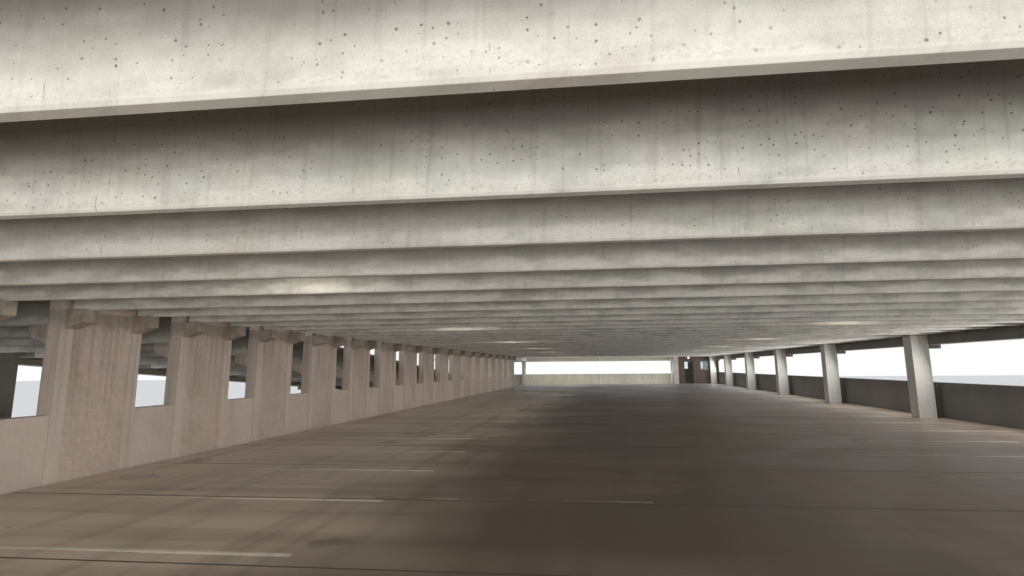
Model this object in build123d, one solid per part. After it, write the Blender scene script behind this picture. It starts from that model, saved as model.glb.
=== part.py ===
from build123d import *
import math
import os

# A precast concrete car park at half scale, in millimetres. Three parking levels, a straight ramp
# bay along the west side, and a brick stair tower at the far east corner. X is across the
# building, Y runs along the aisle from the near end to the far end, and Z is up. The origin is on
# the ground at the middle of the footprint.

os.makedirs("parts", exist_ok=True)

# Storeys
STOREY = 1650.0                 # floor to floor
LEVELS = 2                      # floors above the ground

# Double tees of the decks, each spanning across its bay
TEE_PITCH = 1524.0              # width of one tee with its joint
TEE_JOINT = 10.0                # open joint between two tees
TEE_DEPTH = 355.0
FLANGE_DEPTH = 50.0
STEM_PITCH = 762.0              # between the two stems of a tee
STEM_FOOT = 62.0                # stem width at the bottom
STEM_ROOT = 88.0                # stem width under the flange
STEM_CHAMFER = 9.0
TEE_BEARING = 93.0              # length of stem that sits on a ledge
TEES_PER_BAY = 3                # tees between two columns
BAYS = 8                        # column bays along the building
FLAT_END_BAYS = 1               # level bays of the ramp side at each end
ON_GRADE_BAYS = 2               # lowest bays of the lower ramp, which lie on fill
RAMP_TOE = 12.0                 # thickness of the fill at its thin end

# Wall piers between the parking bay and the ramp
PIER_WIDTH = 936.0
PIER_DEPTH = 127.0
PIER_RISE = 535.0               # above the top deck
PIER_GAP = 30.0                 # pier face to the end of a tee
PANEL_BORDER = 130.0            # raised border of the sunk panel
PANEL_SINK = 10.0
PANEL_HEAD = 95.0               # sunk panel stops this far below the stems
PANEL_BASE = 60.0               # and this far above the floor
CORBEL_WIDTH = 150.0
CORBEL_REACH = 165.0
CORBEL_TIP = 96.0               # height of a corbel at its tip
CORBEL_ROOT = 150.0             # height of a corbel at the pier
BARRIER_HEIGHT = 500.0          # of the walls between piers, above the floor
BARRIER_DEPTH = 107.0
BARRIER_SKIRT = 90.0            # part of such a wall below the floor line

# Outer bays
BAY_CLEAR = 9284.0              # pier face to the ledge face on the east
RAMP_CLEAR = 3200.0             # pier face to the ledge face on the west
COLUMN_X = 263.0
COLUMN_Y = 305.0
COLUMN_NOTCH_GAP = 12.0         # round a column where it passes a deck
COLUMN_SHORT = 60.0             # column top below the parapet's top
HAUNCH_HEIGHT = 60.0            # column haunch that carries a spandrel
HAUNCH_WIDTH = 190.0
LEDGE_WIDTH = 108.0             # spandrel ledge that carries the stems
LEDGE_DEPTH_EAST = 155.0
LEDGE_DEPTH_WEST = 75.0
WEB = 100.0                     # spandrel wall
PARAPET = 545.0                 # side parapet above the floor
PANEL_JOINT = 10.0              # open joint between two wall panels
REVEAL_DROP = 150.0             # panel top to the groove along its outer face
REVEAL_HEIGHT = 40.0
REVEAL_SINK = 12.0

# Level ends of the ramp side
GIRDER_WEB = 162.0
GIRDER_LEDGE = 112.0            # each side of the web
INNER_COLUMN_X = 166.0
INNER_HAUNCH_REACH = 120.0
INNER_HAUNCH_HEIGHT = 110.0
GIRDER_END_GAP = 10.0

# End walls
END_WALL = 90.0
END_PARAPET = 490.0
END_DROP = 190.0                # end wall below the stems

# Drain pipe beside the tower's column
PIPE_RADIUS = 45.0
PIPE_SIDES = 12
PIPE_NECK = 120.0               # straight length under the deck, before the offset
PIPE_OFFSET = 140.0             # of the neck from the long run, across the building
PIPE_GAP = 15.0                 # pipe to the faces beside it

# Stair tower, brick, past the far end of the decks
TOWER_COLUMN_X = 7325.0         # column beside the tower, from the pier line
TOWER_X = 7580.0                # tower's inner side, from the pier line
TOWER_LENGTH = 2570.0
BRICK_WALL = 150.0
TOWER_RISE = 1350.0             # wall top above the top deck
ROOF_SLAB = 90.0
ROOF_OVERHANG = 30.0
LANDING_LENGTH = 800.0
LANDING_DEPTH = 75.0
DOOR_X = 300.0                  # tower's inner side to the doorway
DOOR_WIDTH = 450.0
DOOR_HEIGHT = 1070.0
WINDOW_X = 1070.0               # tower's inner side to the window
WINDOW_WIDTH = 470.0
WINDOW_SILL = 680.0             # above each floor
WINDOW_HEIGHT = 400.0
FRAME_BAR = 28.0                # bars of the window frames
FRAME_DEPTH = 60.0
GLASS_DEPTH = 10.0

# Luminaires between the stems
LAMP_ROW = 2300.0               # from the middle of the bay to each row
LAMP_WIDTH = 200.0
LAMP_TOP_WIDTH = 150.0
LAMP_HEIGHT = 62.0
LAMP_ROD = 130.0
LAMP_ROD_WIDTH = 22.0

TEES = TEES_PER_BAY * BAYS
RAMP_START = TEES_PER_BAY * FLAT_END_BAYS
RAMP_END = TEES - RAMP_START
FILL_START = RAMP_END - TEES_PER_BAY * ON_GRADE_BAYS
BAY_LENGTH = TEES_PER_BAY * TEE_PITCH
DECK_LENGTH = TEES * TEE_PITCH
SLOPE = STOREY / ((RAMP_END - RAMP_START) * TEE_PITCH)

EAST_OUT = PIER_DEPTH / 2 + BAY_CLEAR + LEDGE_WIDTH + WEB
WEST_OUT = PIER_DEPTH / 2 + RAMP_CLEAR + LEDGE_WIDTH + WEB
PIER_X = (WEST_OUT - EAST_OUT) / 2
NEAR_Y = -(DECK_LENGTH + TOWER_LENGTH + ROOF_OVERHANG - END_WALL) / 2
NEAR_EDGE_Y = NEAR_Y + TEE_JOINT / 2
FAR_EDGE_Y = NEAR_Y + DECK_LENGTH - TEE_JOINT / 2
EAST_LEDGE_X = PIER_X + PIER_DEPTH / 2 + BAY_CLEAR
WEST_LEDGE_X = PIER_X - PIER_DEPTH / 2 - RAMP_CLEAR
EAST_X = PIER_X + EAST_OUT
WEST_X = PIER_X - WEST_OUT
TEE_START_X = PIER_X + PIER_DEPTH / 2 + PIER_GAP
RAMP_TEE_START_X = PIER_X - PIER_DEPTH / 2 - PIER_GAP
EAST_TEE_END_X = EAST_LEDGE_X + TEE_BEARING
WEST_TEE_END_X = WEST_LEDGE_X - TEE_BEARING
TOWER_WEST_X = PIER_X + TOWER_X
TOWER_EAST_X = EAST_X - ROOF_OVERHANG
TOWER_FAR_Y = FAR_EDGE_Y + TOWER_LENGTH
TOWER_INNER_Y = (FAR_EDGE_Y + BRICK_WALL, TOWER_FAR_Y - BRICK_WALL)
TOWER_TOP = LEVELS * STOREY + TOWER_RISE
TOWER_SIDES = ("near", "far", "east", "west")


def grid_y(index):
    """Y of the joint before tee number index."""
    return NEAR_Y + index * TEE_PITCH


def floor_z(level):
    return level * STOREY


def ramp_z(level, y):
    """Top of the ramp that leaves the given level at its near end."""
    run = min(max(y - grid_y(RAMP_START), 0.0), grid_y(RAMP_END) - grid_y(RAMP_START))
    return floor_z(level) - SLOPE * run


def block(x_span, y_span, z_span):
    """A box between two X, two Y and two Z values."""
    size = [high - low for low, high in (x_span, y_span, z_span)]
    corner = (x_span[0], y_span[0], z_span[0])
    return Solid.make_box(*size, Plane(origin=corner))


def prism(points, path):
    """A flat outline carried along a straight path."""
    outline = Face(Wire.make_polygon([Vector(*point) for point in points], close=True))
    return Solid.extrude(outline, Vector(*path))


def write(name, solids):
    export_step(Compound(children=list(solids), label=name), f"parts/{name}.step")


def span(start, length):
    """A run from start that may go towards plus or minus."""
    return tuple(sorted((start, start + length)))


# Double tees

def stem_outline(middle):
    """One stem, which tapers to a flat chamfered foot."""
    root, foot = STEM_ROOT / 2, STEM_FOOT / 2
    return [
        (middle - root, -FLANGE_DEPTH),
        (middle - foot, STEM_CHAMFER - TEE_DEPTH),
        (middle - foot + STEM_CHAMFER, -TEE_DEPTH),
        (middle + foot - STEM_CHAMFER, -TEE_DEPTH),
        (middle + foot, STEM_CHAMFER - TEE_DEPTH),
        (middle + root, -FLANGE_DEPTH),
    ]


def tee_outline():
    half = (TEE_PITCH - TEE_JOINT) / 2
    stems = stem_outline(-STEM_PITCH / 2) + stem_outline(STEM_PITCH / 2)
    return [(-half, 0.0), (-half, -FLANGE_DEPTH)] + stems + [(half, -FLANGE_DEPTH), (half, 0.0)]


def double_tee(index, x_span, top_z, slope, notches):
    """One tee, with its flange notched round the columns that pass it. On a ramp it leans with
    the slope, and its stems stay upright."""
    middle_y = grid_y(index) + TEE_PITCH / 2
    points = [(x_span[0], middle_y + y, top_z + z - slope * y) for y, z in tee_outline()]
    tee = prism(points, (x_span[1] - x_span[0], 0, 0))
    for x_low, x_high, y_low, y_high in notches:
        if y_high > grid_y(index) and y_low < grid_y(index + 1):
            tee = tee - block((x_low, x_high), (y_low, y_high), (top_z - TEE_DEPTH, top_z + TEE_DEPTH))
    return tee.solids()[0]


def column_span_y(line):
    """Y span of the column on a grid line; the end columns stand inside the ends."""
    middle = NEAR_Y + line * BAY_LENGTH
    low = min(max(middle - COLUMN_Y / 2, NEAR_EDGE_Y), FAR_EDGE_Y - COLUMN_Y)
    return low, low + COLUMN_Y


def notch(x_span, y_span):
    """Plan of the hole that a column needs in a deck."""
    gap = COLUMN_NOTCH_GAP
    return x_span[0] - gap, x_span[1] + gap, y_span[0] - gap, y_span[1] + gap


EAST_COLUMN = (EAST_LEDGE_X - COLUMN_X, EAST_LEDGE_X)
WEST_COLUMN = (WEST_LEDGE_X, WEST_LEDGE_X + COLUMN_X)
INNER_COLUMN = (PIER_X - INNER_COLUMN_X / 2, PIER_X + INNER_COLUMN_X / 2)
TOWER_COLUMN = (PIER_X + TOWER_COLUMN_X, TOWER_WEST_X)
TOWER_COLUMN_Y = (FAR_EDGE_Y - COLUMN_Y, FAR_EDGE_Y)


def side_notches(column, ledge_x, outward):
    """Notches along one side, each open to the ends of the tees."""
    notches = []
    for line in range(BAYS + 1):
        x_low, x_high, y_low, y_high = notch(column, column_span_y(line))
        reach = ledge_x + outward * LEDGE_WIDTH
        notches.append((min(x_low, reach), max(x_high, reach), y_low, y_high))
    return notches


EAST_NOTCHES = side_notches(EAST_COLUMN, EAST_LEDGE_X, 1) + [notch(TOWER_COLUMN, TOWER_COLUMN_Y)]
WEST_NOTCHES = side_notches(WEST_COLUMN, WEST_LEDGE_X, -1)


def flat_tees(x_span, level, numbers, notches):
    return [double_tee(index, x_span, floor_z(level), 0.0, notches) for index in numbers]


def ramp_tees(level, numbers):
    x_span = (WEST_TEE_END_X, RAMP_TEE_START_X)
    tees = []
    for index in numbers:
        top_z = ramp_z(level, grid_y(index) + TEE_PITCH / 2)
        tees.append(double_tee(index, x_span, top_z, SLOPE, WEST_NOTCHES))
    return tees


# Wall piers

def corbel(side, y, seat_z, slope):
    """A bracket with a sloped underside, on one face of a pier. Its seat follows the deck."""
    face = PIER_X + side * (PIER_DEPTH / 2 - PANEL_SINK)
    tip = PIER_X + side * (PIER_DEPTH / 2 + CORBEL_REACH)
    y -= CORBEL_WIDTH / 2
    seat_z += slope * CORBEL_WIDTH / 2
    points = [
        (face, y, seat_z),
        (tip, y, seat_z),
        (tip, y, seat_z - CORBEL_TIP),
        (face, y, seat_z - CORBEL_ROOT),
    ]
    return prism(points, (0, CORBEL_WIDTH, -slope * CORBEL_WIDTH))


def sunk_panel(y, level):
    """The shallow panel on the parking side of a pier, one to each storey."""
    half = PIER_WIDTH / 2 - PANEL_BORDER
    head = floor_z(level + 1) - TEE_DEPTH - PANEL_HEAD
    if level == LEVELS:
        head = floor_z(level) + PIER_RISE - PANEL_BORDER
    face = PIER_X + PIER_DEPTH / 2
    return block((face - PANEL_SINK, face), (y - half, y + half), (floor_z(level) + PANEL_BASE, head))


def wall_pier(index):
    """A storey-high wall pier under one tee, from the ground to the top barrier."""
    y = grid_y(index) + TEE_PITCH / 2
    half_x, half_y = PIER_DEPTH / 2, PIER_WIDTH / 2
    pier = block((PIER_X - half_x, PIER_X + half_x), (y - half_y, y + half_y),
                 (0, floor_z(LEVELS) + PIER_RISE))
    for level in range(LEVELS + 1):
        pier = pier - sunk_panel(y, level)
    for level in range(1, LEVELS + 1):
        for stem_y in (y - STEM_PITCH / 2, y + STEM_PITCH / 2):
            pier = pier + corbel(1, stem_y, floor_z(level) - TEE_DEPTH, 0.0)
            if level > 1 or index < FILL_START:
                pier = pier + corbel(-1, stem_y, ramp_z(level, stem_y) - TEE_DEPTH, SLOPE)
    return pier.solids()[0]


def pier_barriers():
    """Low walls that close the gaps between piers at each upper floor."""
    walls = []
    half_x = BARRIER_DEPTH / 2
    for level in range(1, LEVELS + 1):
        for index in range(RAMP_START, RAMP_END - 1):
            low = grid_y(index) + (TEE_PITCH + PIER_WIDTH) / 2
            high = grid_y(index + 1) + (TEE_PITCH - PIER_WIDTH) / 2
            walls.append(block((PIER_X - half_x, PIER_X + half_x), (low, high),
                               (floor_z(level) - BARRIER_SKIRT, floor_z(level) + BARRIER_HEIGHT)))
    return walls


# Columns

def flat_deck(level):
    """The deck's height along the building, as a function of Y."""
    return lambda y: floor_z(level)


def ramp_deck(level):
    return lambda y: ramp_z(level, y)


def haunch(outer, outward, middle, ledge_depth, deck):
    """A bracket under a spandrel. Its seat follows the deck across the joint of two panels."""
    under = TEE_DEPTH + ledge_depth
    ys = (middle - HAUNCH_WIDTH / 2, middle, middle + HAUNCH_WIDTH / 2)
    low = deck(ys[2]) - under - HAUNCH_HEIGHT
    points = [(outer, y, deck(y) - under) for y in ys] + [(outer, ys[2], low), (outer, ys[0], low)]
    return prism(points, (outward * (LEDGE_WIDTH + WEB), 0, 0))


def side_column(column, outward, line, ledge_depth, decks):
    """A column with a haunch under the spandrels of each deck, on its outer face. It ends a
    little below the parapet of the last deck."""
    y_span = column_span_y(line)
    outer = max(column) if outward > 0 else min(column)
    solid = block(column, y_span, (0, decks[-1](y_span[1]) + PARAPET - COLUMN_SHORT))
    for deck in decks:
        solid = solid + haunch(outer, outward, sum(y_span) / 2, ledge_depth, deck)
    return solid.solids()[0]


def east_columns():
    decks = [flat_deck(level) for level in range(1, LEVELS + 1)]
    columns = [side_column(EAST_COLUMN, 1, line, LEDGE_DEPTH_EAST, decks) for line in range(BAYS + 1)]
    top = floor_z(LEVELS) + PARAPET - COLUMN_SHORT
    return columns + [block(TOWER_COLUMN, TOWER_COLUMN_Y, (0, top))]


def west_columns():
    """Their haunches step down with the ramps, as far as the fill."""
    columns = []
    for line in range(BAYS + 1):
        decks = [ramp_deck(level) for level in range(1, LEVELS + 1)]
        if line * TEES_PER_BAY >= FILL_START:
            decks = decks[1:]
        if line >= BAYS - FLAT_END_BAYS:
            decks = [flat_deck(level) for level in range(1, LEVELS + 1)]
        columns.append(side_column(WEST_COLUMN, -1, line, LEDGE_DEPTH_WEST, decks))
    return columns


GIRDER_SEAT = TEE_DEPTH + LEDGE_DEPTH_EAST
END_BAYS = [(0, FLAT_END_BAYS), (BAYS - FLAT_END_BAYS, BAYS)]


def girder_span_y(lines):
    """From the face of one inner column to the face of the next."""
    return column_span_y(lines[0])[1], column_span_y(lines[1])[0]


def inner_columns():
    """Columns in the pier line at both ends of each girder, with a haunch under it."""
    columns = []
    for lines in END_BAYS:
        low, high = girder_span_y(lines)
        ends = ((lines[0], low, INNER_HAUNCH_REACH), (lines[1], high, -INNER_HAUNCH_REACH))
        for line, start, reach in ends:
            solid = block(INNER_COLUMN, column_span_y(line), (0, floor_z(LEVELS) + PIER_RISE))
            for level in range(1, LEVELS + 1):
                top = floor_z(level) - GIRDER_SEAT
                solid = solid + block(INNER_COLUMN, span(start, reach), (top - INNER_HAUNCH_HEIGHT, top))
            columns.append(solid.solids()[0])
    return columns


def girder(level, lines):
    """An inverted tee beam, whose ledges carry the stems from both sides."""
    web, foot = GIRDER_WEB / 2, GIRDER_WEB / 2 + GIRDER_LEDGE
    top, seat, under = 0.0, -TEE_DEPTH, -GIRDER_SEAT
    half = [(foot, under), (foot, seat), (web, seat), (web, top)]
    outline = half + [(-x, z) for x, z in reversed(half)]
    low, high = girder_span_y(lines)
    low, high = low + GIRDER_END_GAP, high - GIRDER_END_GAP
    points = [(PIER_X + x, low, floor_z(level) + z) for x, z in outline]
    return prism(points, (0, high - low, 0))


# Spandrels and walls

def outer_face(outer, under, top):
    """Points up the outer face of a wall panel, with a groove near its top if there is room."""
    groove = top - REVEAL_DROP
    if groove - REVEAL_HEIGHT < under + REVEAL_DROP:
        return [(outer, under), (outer, top)]
    return [
        (outer, under),
        (outer, groove - REVEAL_HEIGHT),
        (outer - REVEAL_SINK, groove - REVEAL_HEIGHT + REVEAL_SINK),
        (outer - REVEAL_SINK, groove - REVEAL_SINK),
        (outer, groove),
        (outer, top),
    ]


def wall_panel(corner, outward, along, thickness, z_span):
    """An upright panel. Its outline starts at the inner face in corner and is carried along."""
    outline = outer_face(thickness, *z_span) + [(0, z_span[1]), (0, z_span[0])]
    corner, outward = Vector(*corner), Vector(*outward)
    return prism([corner + outward * depth + Vector(0, 0, z) for depth, z in outline], along)


def spandrel(ledge_x, outward, ledge_depth, y_span, z_span):
    """A ledger wall panel. z_span is the floor's height at its two ends."""
    low, high = y_span[0] + PANEL_JOINT / 2, y_span[1] - PANEL_JOINT / 2
    fall = (z_span[1] - z_span[0]) / (y_span[1] - y_span[0])
    start_z = z_span[0] + fall * PANEL_JOINT / 2
    under, seat = -TEE_DEPTH - ledge_depth, -TEE_DEPTH
    outline = [(0, under)] + outer_face(LEDGE_WIDTH + WEB, under, PARAPET) + [
        (LEDGE_WIDTH, PARAPET),
        (LEDGE_WIDTH, seat),
        (0, seat),
    ]
    points = [(ledge_x + outward * x, low, start_z + z) for x, z in outline]
    return prism(points, (0, high - low, fall * (high - low)))


def bay_span(bay):
    return NEAR_Y + bay * BAY_LENGTH, NEAR_Y + (bay + 1) * BAY_LENGTH


def east_spandrels():
    return [spandrel(EAST_LEDGE_X, 1, LEDGE_DEPTH_EAST, bay_span(bay), (floor_z(level),) * 2)
            for level in range(1, LEVELS + 1) for bay in range(BAYS)]


def west_spandrel(level, bay):
    y_span = bay_span(bay)
    z_span = [ramp_z(level, y) for y in y_span]
    if bay >= BAYS - FLAT_END_BAYS:
        z_span = [floor_z(level)] * 2
    return spandrel(WEST_LEDGE_X, -1, LEDGE_DEPTH_WEST, y_span, z_span)


def west_spandrels():
    """Level at both ends, and sloped along the ramps as far as the fill."""
    upper = [west_spandrel(LEVELS, bay) for bay in range(BAYS)]
    raised = [bay for bay in range(BAYS) if not FILL_START <= bay * TEES_PER_BAY < RAMP_END]
    return upper + [west_spandrel(1, bay) for bay in raised]


def retaining_walls():
    """Beside the fill the wall runs down to the ground, and its top follows the ramp."""
    walls = []
    for bay in range(BAYS - FLAT_END_BAYS - ON_GRADE_BAYS, BAYS - FLAT_END_BAYS):
        low, high = (y + shift for y, shift in zip(bay_span(bay), (PANEL_JOINT / 2, -PANEL_JOINT / 2)))
        points = [
            (WEST_LEDGE_X, low, 0),
            (WEST_LEDGE_X, high, 0),
            (WEST_LEDGE_X, high, ramp_z(1, high) + PARAPET),
            (WEST_LEDGE_X, low, ramp_z(1, low) + PARAPET),
        ]
        walls.append(prism(points, (-WEB, 0, 0)))
    return walls


def ramp_fill():
    """The lowest stretch of the lower ramp, solid down to the ground."""
    low, high = grid_y(FILL_START) + TEE_JOINT / 2, grid_y(RAMP_END)
    x_low, x_high = WEST_LEDGE_X, PIER_X - PIER_DEPTH / 2
    points = [
        (x_low, low, 0),
        (x_low, high, 0),
        (x_low, high, RAMP_TOE),
        (x_low, high - RAMP_TOE / SLOPE, RAMP_TOE),
        (x_low, low, ramp_z(1, low)),
    ]
    fill = prism(points, (x_high - x_low, 0, 0))
    for line in range(BAYS + 1):
        y_low, y_high = column_span_y(line)
        if y_high > low and y_low < high:
            fill = fill - block(WEST_COLUMN, (y_low, y_high), (0, STOREY))
            fill = fill - block(INNER_COLUMN, (y_low, y_high), (0, STOREY))
    return fill.solids()[0]


def ground_walls():
    """Low walls at the ground on both sides; the near east bay is left open as the way in."""
    walls = []
    for bay in range(1, BAYS):
        low, high = bay_span(bay)
        walls.append(wall_panel((EAST_LEDGE_X, low + PANEL_JOINT / 2, 0), (1, 0, 0),
                                (0, BAY_LENGTH - PANEL_JOINT, 0), WEB, (0, PARAPET)))
    level_bays = list(range(BAYS - FLAT_END_BAYS - ON_GRADE_BAYS)) + [BAYS - FLAT_END_BAYS]
    for bay in level_bays:
        low, high = bay_span(bay)
        under = ramp_z(1, high) - TEE_DEPTH - LEDGE_DEPTH_WEST - HAUNCH_HEIGHT
        top = min(PARAPET, under - HAUNCH_WIDTH * SLOPE - PANEL_JOINT)
        if bay >= BAYS - FLAT_END_BAYS:
            top = PARAPET
        if top > PARAPET / 2:
            walls.append(wall_panel((WEST_LEDGE_X, low + PANEL_JOINT / 2, 0), (-1, 0, 0),
                                    (0, BAY_LENGTH - PANEL_JOINT, 0), WEB, (0, top)))
    return walls + retaining_walls()


def end_wall(x_span, inner_y, outward, level):
    z_low = floor_z(level) - TEE_DEPTH - END_DROP if level else 0.0
    return wall_panel((x_span[0] + PANEL_JOINT / 2, inner_y, 0), (0, outward, 0),
                      (x_span[1] - x_span[0] - PANEL_JOINT, 0, 0), END_WALL,
                      (z_low, floor_z(level) + END_PARAPET))


def near_end_walls():
    """Panels across the near end; the ground level stays open."""
    middle = (PIER_X + EAST_X) / 2
    spans = ((WEST_X, PIER_X), (PIER_X, middle), (middle, EAST_X))
    return [end_wall(x_span, NEAR_EDGE_Y, -1, level) for level in range(1, LEVELS + 1) for x_span in spans]


def far_end_walls():
    """Panels across the far end, up to the column beside the tower."""
    middle = (PIER_X + TOWER_WEST_X) / 2
    spans = ((WEST_X, PIER_X), (PIER_X, middle), (middle, TOWER_WEST_X))
    return [end_wall(x_span, FAR_EDGE_Y, 1, level) for level in range(LEVELS + 1) for x_span in spans]


def ramp_head_wall():
    """The wall across the edge of the top deck, above the foot of the upper ramp."""
    y = grid_y(RAMP_END) + TEE_JOINT / 2
    x_span = (WEST_COLUMN[1] + PANEL_JOINT, PIER_X - PIER_DEPTH / 2 - PIER_GAP)
    return block(x_span, (y, y + END_WALL), (floor_z(LEVELS), floor_z(LEVELS) + END_PARAPET))


# Stair tower

def tower_windows(wall):
    """Windows of one storey in a wall, as X and Y of the corner and the direction along it."""
    middle_y = (FAR_EDGE_Y + TOWER_FAR_Y - WINDOW_WIDTH) / 2
    return {
        "near": [(TOWER_WEST_X + WINDOW_X, FAR_EDGE_Y, "x")],
        "far": [(TOWER_WEST_X + start, TOWER_FAR_Y - BRICK_WALL, "x") for start in (DOOR_X, WINDOW_X)],
        "east": [(TOWER_EAST_X - BRICK_WALL, middle_y, "y")],
        "west": [],
    }[wall]


def window_block(window, z, inset, border):
    """The box that a window's opening or glass fills, drawn in from its edges by a border."""
    x, y, direction = window
    along = (border, WINDOW_WIDTH - border)
    through = (inset, BRICK_WALL - inset)
    u_span, v_span = (along, through) if direction == "x" else (through, along)
    return block((x + u_span[0], x + u_span[1]), (y + v_span[0], y + v_span[1]),
                 (z + border, z + WINDOW_HEIGHT - border))


def tower_wall(wall):
    """One brick wall, with its windows. The near and far walls cover the ends of the others."""
    x_span, y_span = {
        "near": ((TOWER_WEST_X, TOWER_EAST_X), (FAR_EDGE_Y, FAR_EDGE_Y + BRICK_WALL)),
        "far": ((TOWER_WEST_X, TOWER_EAST_X), (TOWER_FAR_Y - BRICK_WALL, TOWER_FAR_Y)),
        "east": ((TOWER_EAST_X - BRICK_WALL, TOWER_EAST_X), TOWER_INNER_Y),
        "west": ((TOWER_WEST_X, TOWER_WEST_X + BRICK_WALL), TOWER_INNER_Y),
    }[wall]
    solid = block(x_span, y_span, (0, TOWER_TOP))
    for level in range(LEVELS + 1):
        for window in tower_windows(wall):
            solid = solid - window_block(window, floor_z(level) + WINDOW_SILL, 0.0, 0.0)
        if wall == "near":
            door = (TOWER_WEST_X + DOOR_X, TOWER_WEST_X + DOOR_X + DOOR_WIDTH)
            solid = solid - block(door, y_span, (floor_z(level), floor_z(level) + DOOR_HEIGHT))
    return solid.solids()[0]


def every_tower_window():
    return [(window, floor_z(level) + WINDOW_SILL)
            for level in range(LEVELS + 1) for wall in TOWER_SIDES for window in tower_windows(wall)]


def tower_window_frames():
    """A square frame in the middle of the wall at every window."""
    inset = (BRICK_WALL - FRAME_DEPTH) / 2
    return [(window_block(window, z, inset, 0.0) - window_block(window, z, 0.0, FRAME_BAR)).solids()[0]
            for window, z in every_tower_window()]


def tower_window_glass():
    """One pane in each frame."""
    inset = (BRICK_WALL - GLASS_DEPTH) / 2
    return [window_block(window, z, inset, FRAME_BAR) for window, z in every_tower_window()]


def tower_roof():
    """A slab on the brick walls, with a small overhang."""
    out = ROOF_OVERHANG
    return block((TOWER_WEST_X - out, TOWER_EAST_X + out), (FAR_EDGE_Y - out, TOWER_FAR_Y + out),
                 (TOWER_TOP, TOWER_TOP + ROOF_SLAB))


def tower_landings():
    """The floor inside each upper doorway."""
    x_span = (TOWER_WEST_X + BRICK_WALL, TOWER_EAST_X - BRICK_WALL)
    low = FAR_EDGE_Y + BRICK_WALL
    return [block(x_span, (low, low + LANDING_LENGTH), (floor_z(level) - LANDING_DEPTH, floor_z(level)))
            for level in range(1, LEVELS + 1)]


# Drain pipe

def drain_pipes():
    """One on each storey beside the tower's column, from the floor to the deck above, with an
    offset near its top."""
    x, y = TOWER_COLUMN[0] - PIPE_GAP - PIPE_RADIUS, FAR_EDGE_Y - PIPE_GAP - PIPE_RADIUS
    pipes = []
    for level in range(LEVELS):
        ceiling = floor_z(level + 1) - FLANGE_DEPTH
        neck = ceiling - PIPE_NECK
        points = [(x, y, floor_z(level)), (x, y, neck - PIPE_OFFSET), (x - PIPE_OFFSET, y, neck),
                  (x - PIPE_OFFSET, y, ceiling)]
        run = Wire.make_polygon([Vector(*point) for point in points], close=False)
        section = Plane(origin=points[0]) * RegularPolygon(PIPE_RADIUS, PIPE_SIDES)
        pipes.append(sweep(section, run, transition=Transition.RIGHT).solids()[0])
    return pipes


# Luminaires

def luminaire(x, y, ceiling_z):
    """A tapered square housing that hangs from the deck on a short rod."""
    lens_z = ceiling_z - LAMP_ROD - LAMP_HEIGHT
    lean = math.degrees(math.atan2((LAMP_WIDTH - LAMP_TOP_WIDTH) / 2, LAMP_HEIGHT))
    lens = Plane(origin=(x, y, lens_z)) * Rectangle(LAMP_WIDTH, LAMP_WIDTH)
    housing = extrude(lens, amount=LAMP_HEIGHT, taper=lean)
    rod_x, rod_y = span(x - LAMP_ROD_WIDTH / 2, LAMP_ROD_WIDTH), span(y - LAMP_ROD_WIDTH / 2, LAMP_ROD_WIDTH)
    rod = block(rod_x, rod_y, (lens_z + LAMP_HEIGHT, ceiling_z))
    return (housing + rod).solids()[0]


def luminaires():
    """Two rows under each deck, one lamp to every column bay, between its first tee's stems."""
    middle_x = (PIER_X + PIER_DEPTH / 2 + EAST_LEDGE_X) / 2
    lamps = []
    for level in range(1, LEVELS + 1):
        ceiling = floor_z(level) - FLANGE_DEPTH
        for bay in range(BAYS):
            y = NEAR_Y + bay * BAY_LENGTH + TEE_PITCH / 2
            lamps += [luminaire(middle_x + side * LAMP_ROW, y, ceiling) for side in (-1, 1)]
    return lamps


BAY_TEES = (TEE_START_X, EAST_TEE_END_X)
CROSSOVER_TEES = (WEST_TEE_END_X, RAMP_TEE_START_X)
CROSSOVER_NUMBERS = list(range(RAMP_START)) + list(range(RAMP_END, TEES))
UPPER_LEVELS = range(1, LEVELS + 1)

for number, index in enumerate(range(RAMP_START, RAMP_END), start=1):
    write(f"wall_pier_{number:02d}", [wall_pier(index)])
for level in UPPER_LEVELS:
    write(f"level_{level}_bay_tees", flat_tees(BAY_TEES, level, range(TEES), EAST_NOTCHES))
write("crossover_tees", [tee for level in UPPER_LEVELS
                         for tee in flat_tees(CROSSOVER_TEES, level, CROSSOVER_NUMBERS, WEST_NOTCHES)])
write("upper_ramp_tees", ramp_tees(LEVELS, range(RAMP_START, RAMP_END)))
write("lower_ramp_tees", ramp_tees(1, range(RAMP_START, FILL_START)))
write("lower_ramp_fill", [ramp_fill()])
write("east_spandrels", east_spandrels())
write("west_spandrels", west_spandrels())
write("pier_barriers", pier_barriers())
write("east_columns", east_columns())
write("west_columns", west_columns())
write("inner_columns", inner_columns())
write("crossover_girders", [girder(level, lines) for level in UPPER_LEVELS for lines in END_BAYS])
write("ground_walls", ground_walls())
write("near_end_walls", near_end_walls())
write("far_end_walls", far_end_walls())
write("ramp_head_wall", [ramp_head_wall()])
for side in TOWER_SIDES:
    write(f"stair_tower_{side}_wall", [tower_wall(side)])
write("stair_tower_roof", [tower_roof()])
write("stair_tower_landings", tower_landings())
write("stair_tower_window_frames", tower_window_frames())
write("stair_tower_window_glass", tower_window_glass())
write("drain_pipes", drain_pipes())
write("luminaires", luminaires())
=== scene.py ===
# %% [markdown]
# # A precast car park, dressed for its picture
#
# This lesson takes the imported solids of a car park, built at half the real size, and gives every
# one of them the finish of the real material. The solids are the frame: they stay where they
# are, and all that is new here is laid on them, in metres, in the same axes. X runs across the
# building, Y along the aisle and Z up.

import bmesh
import bpy
import numpy as np
from mathutils import Matrix, Vector


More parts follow.
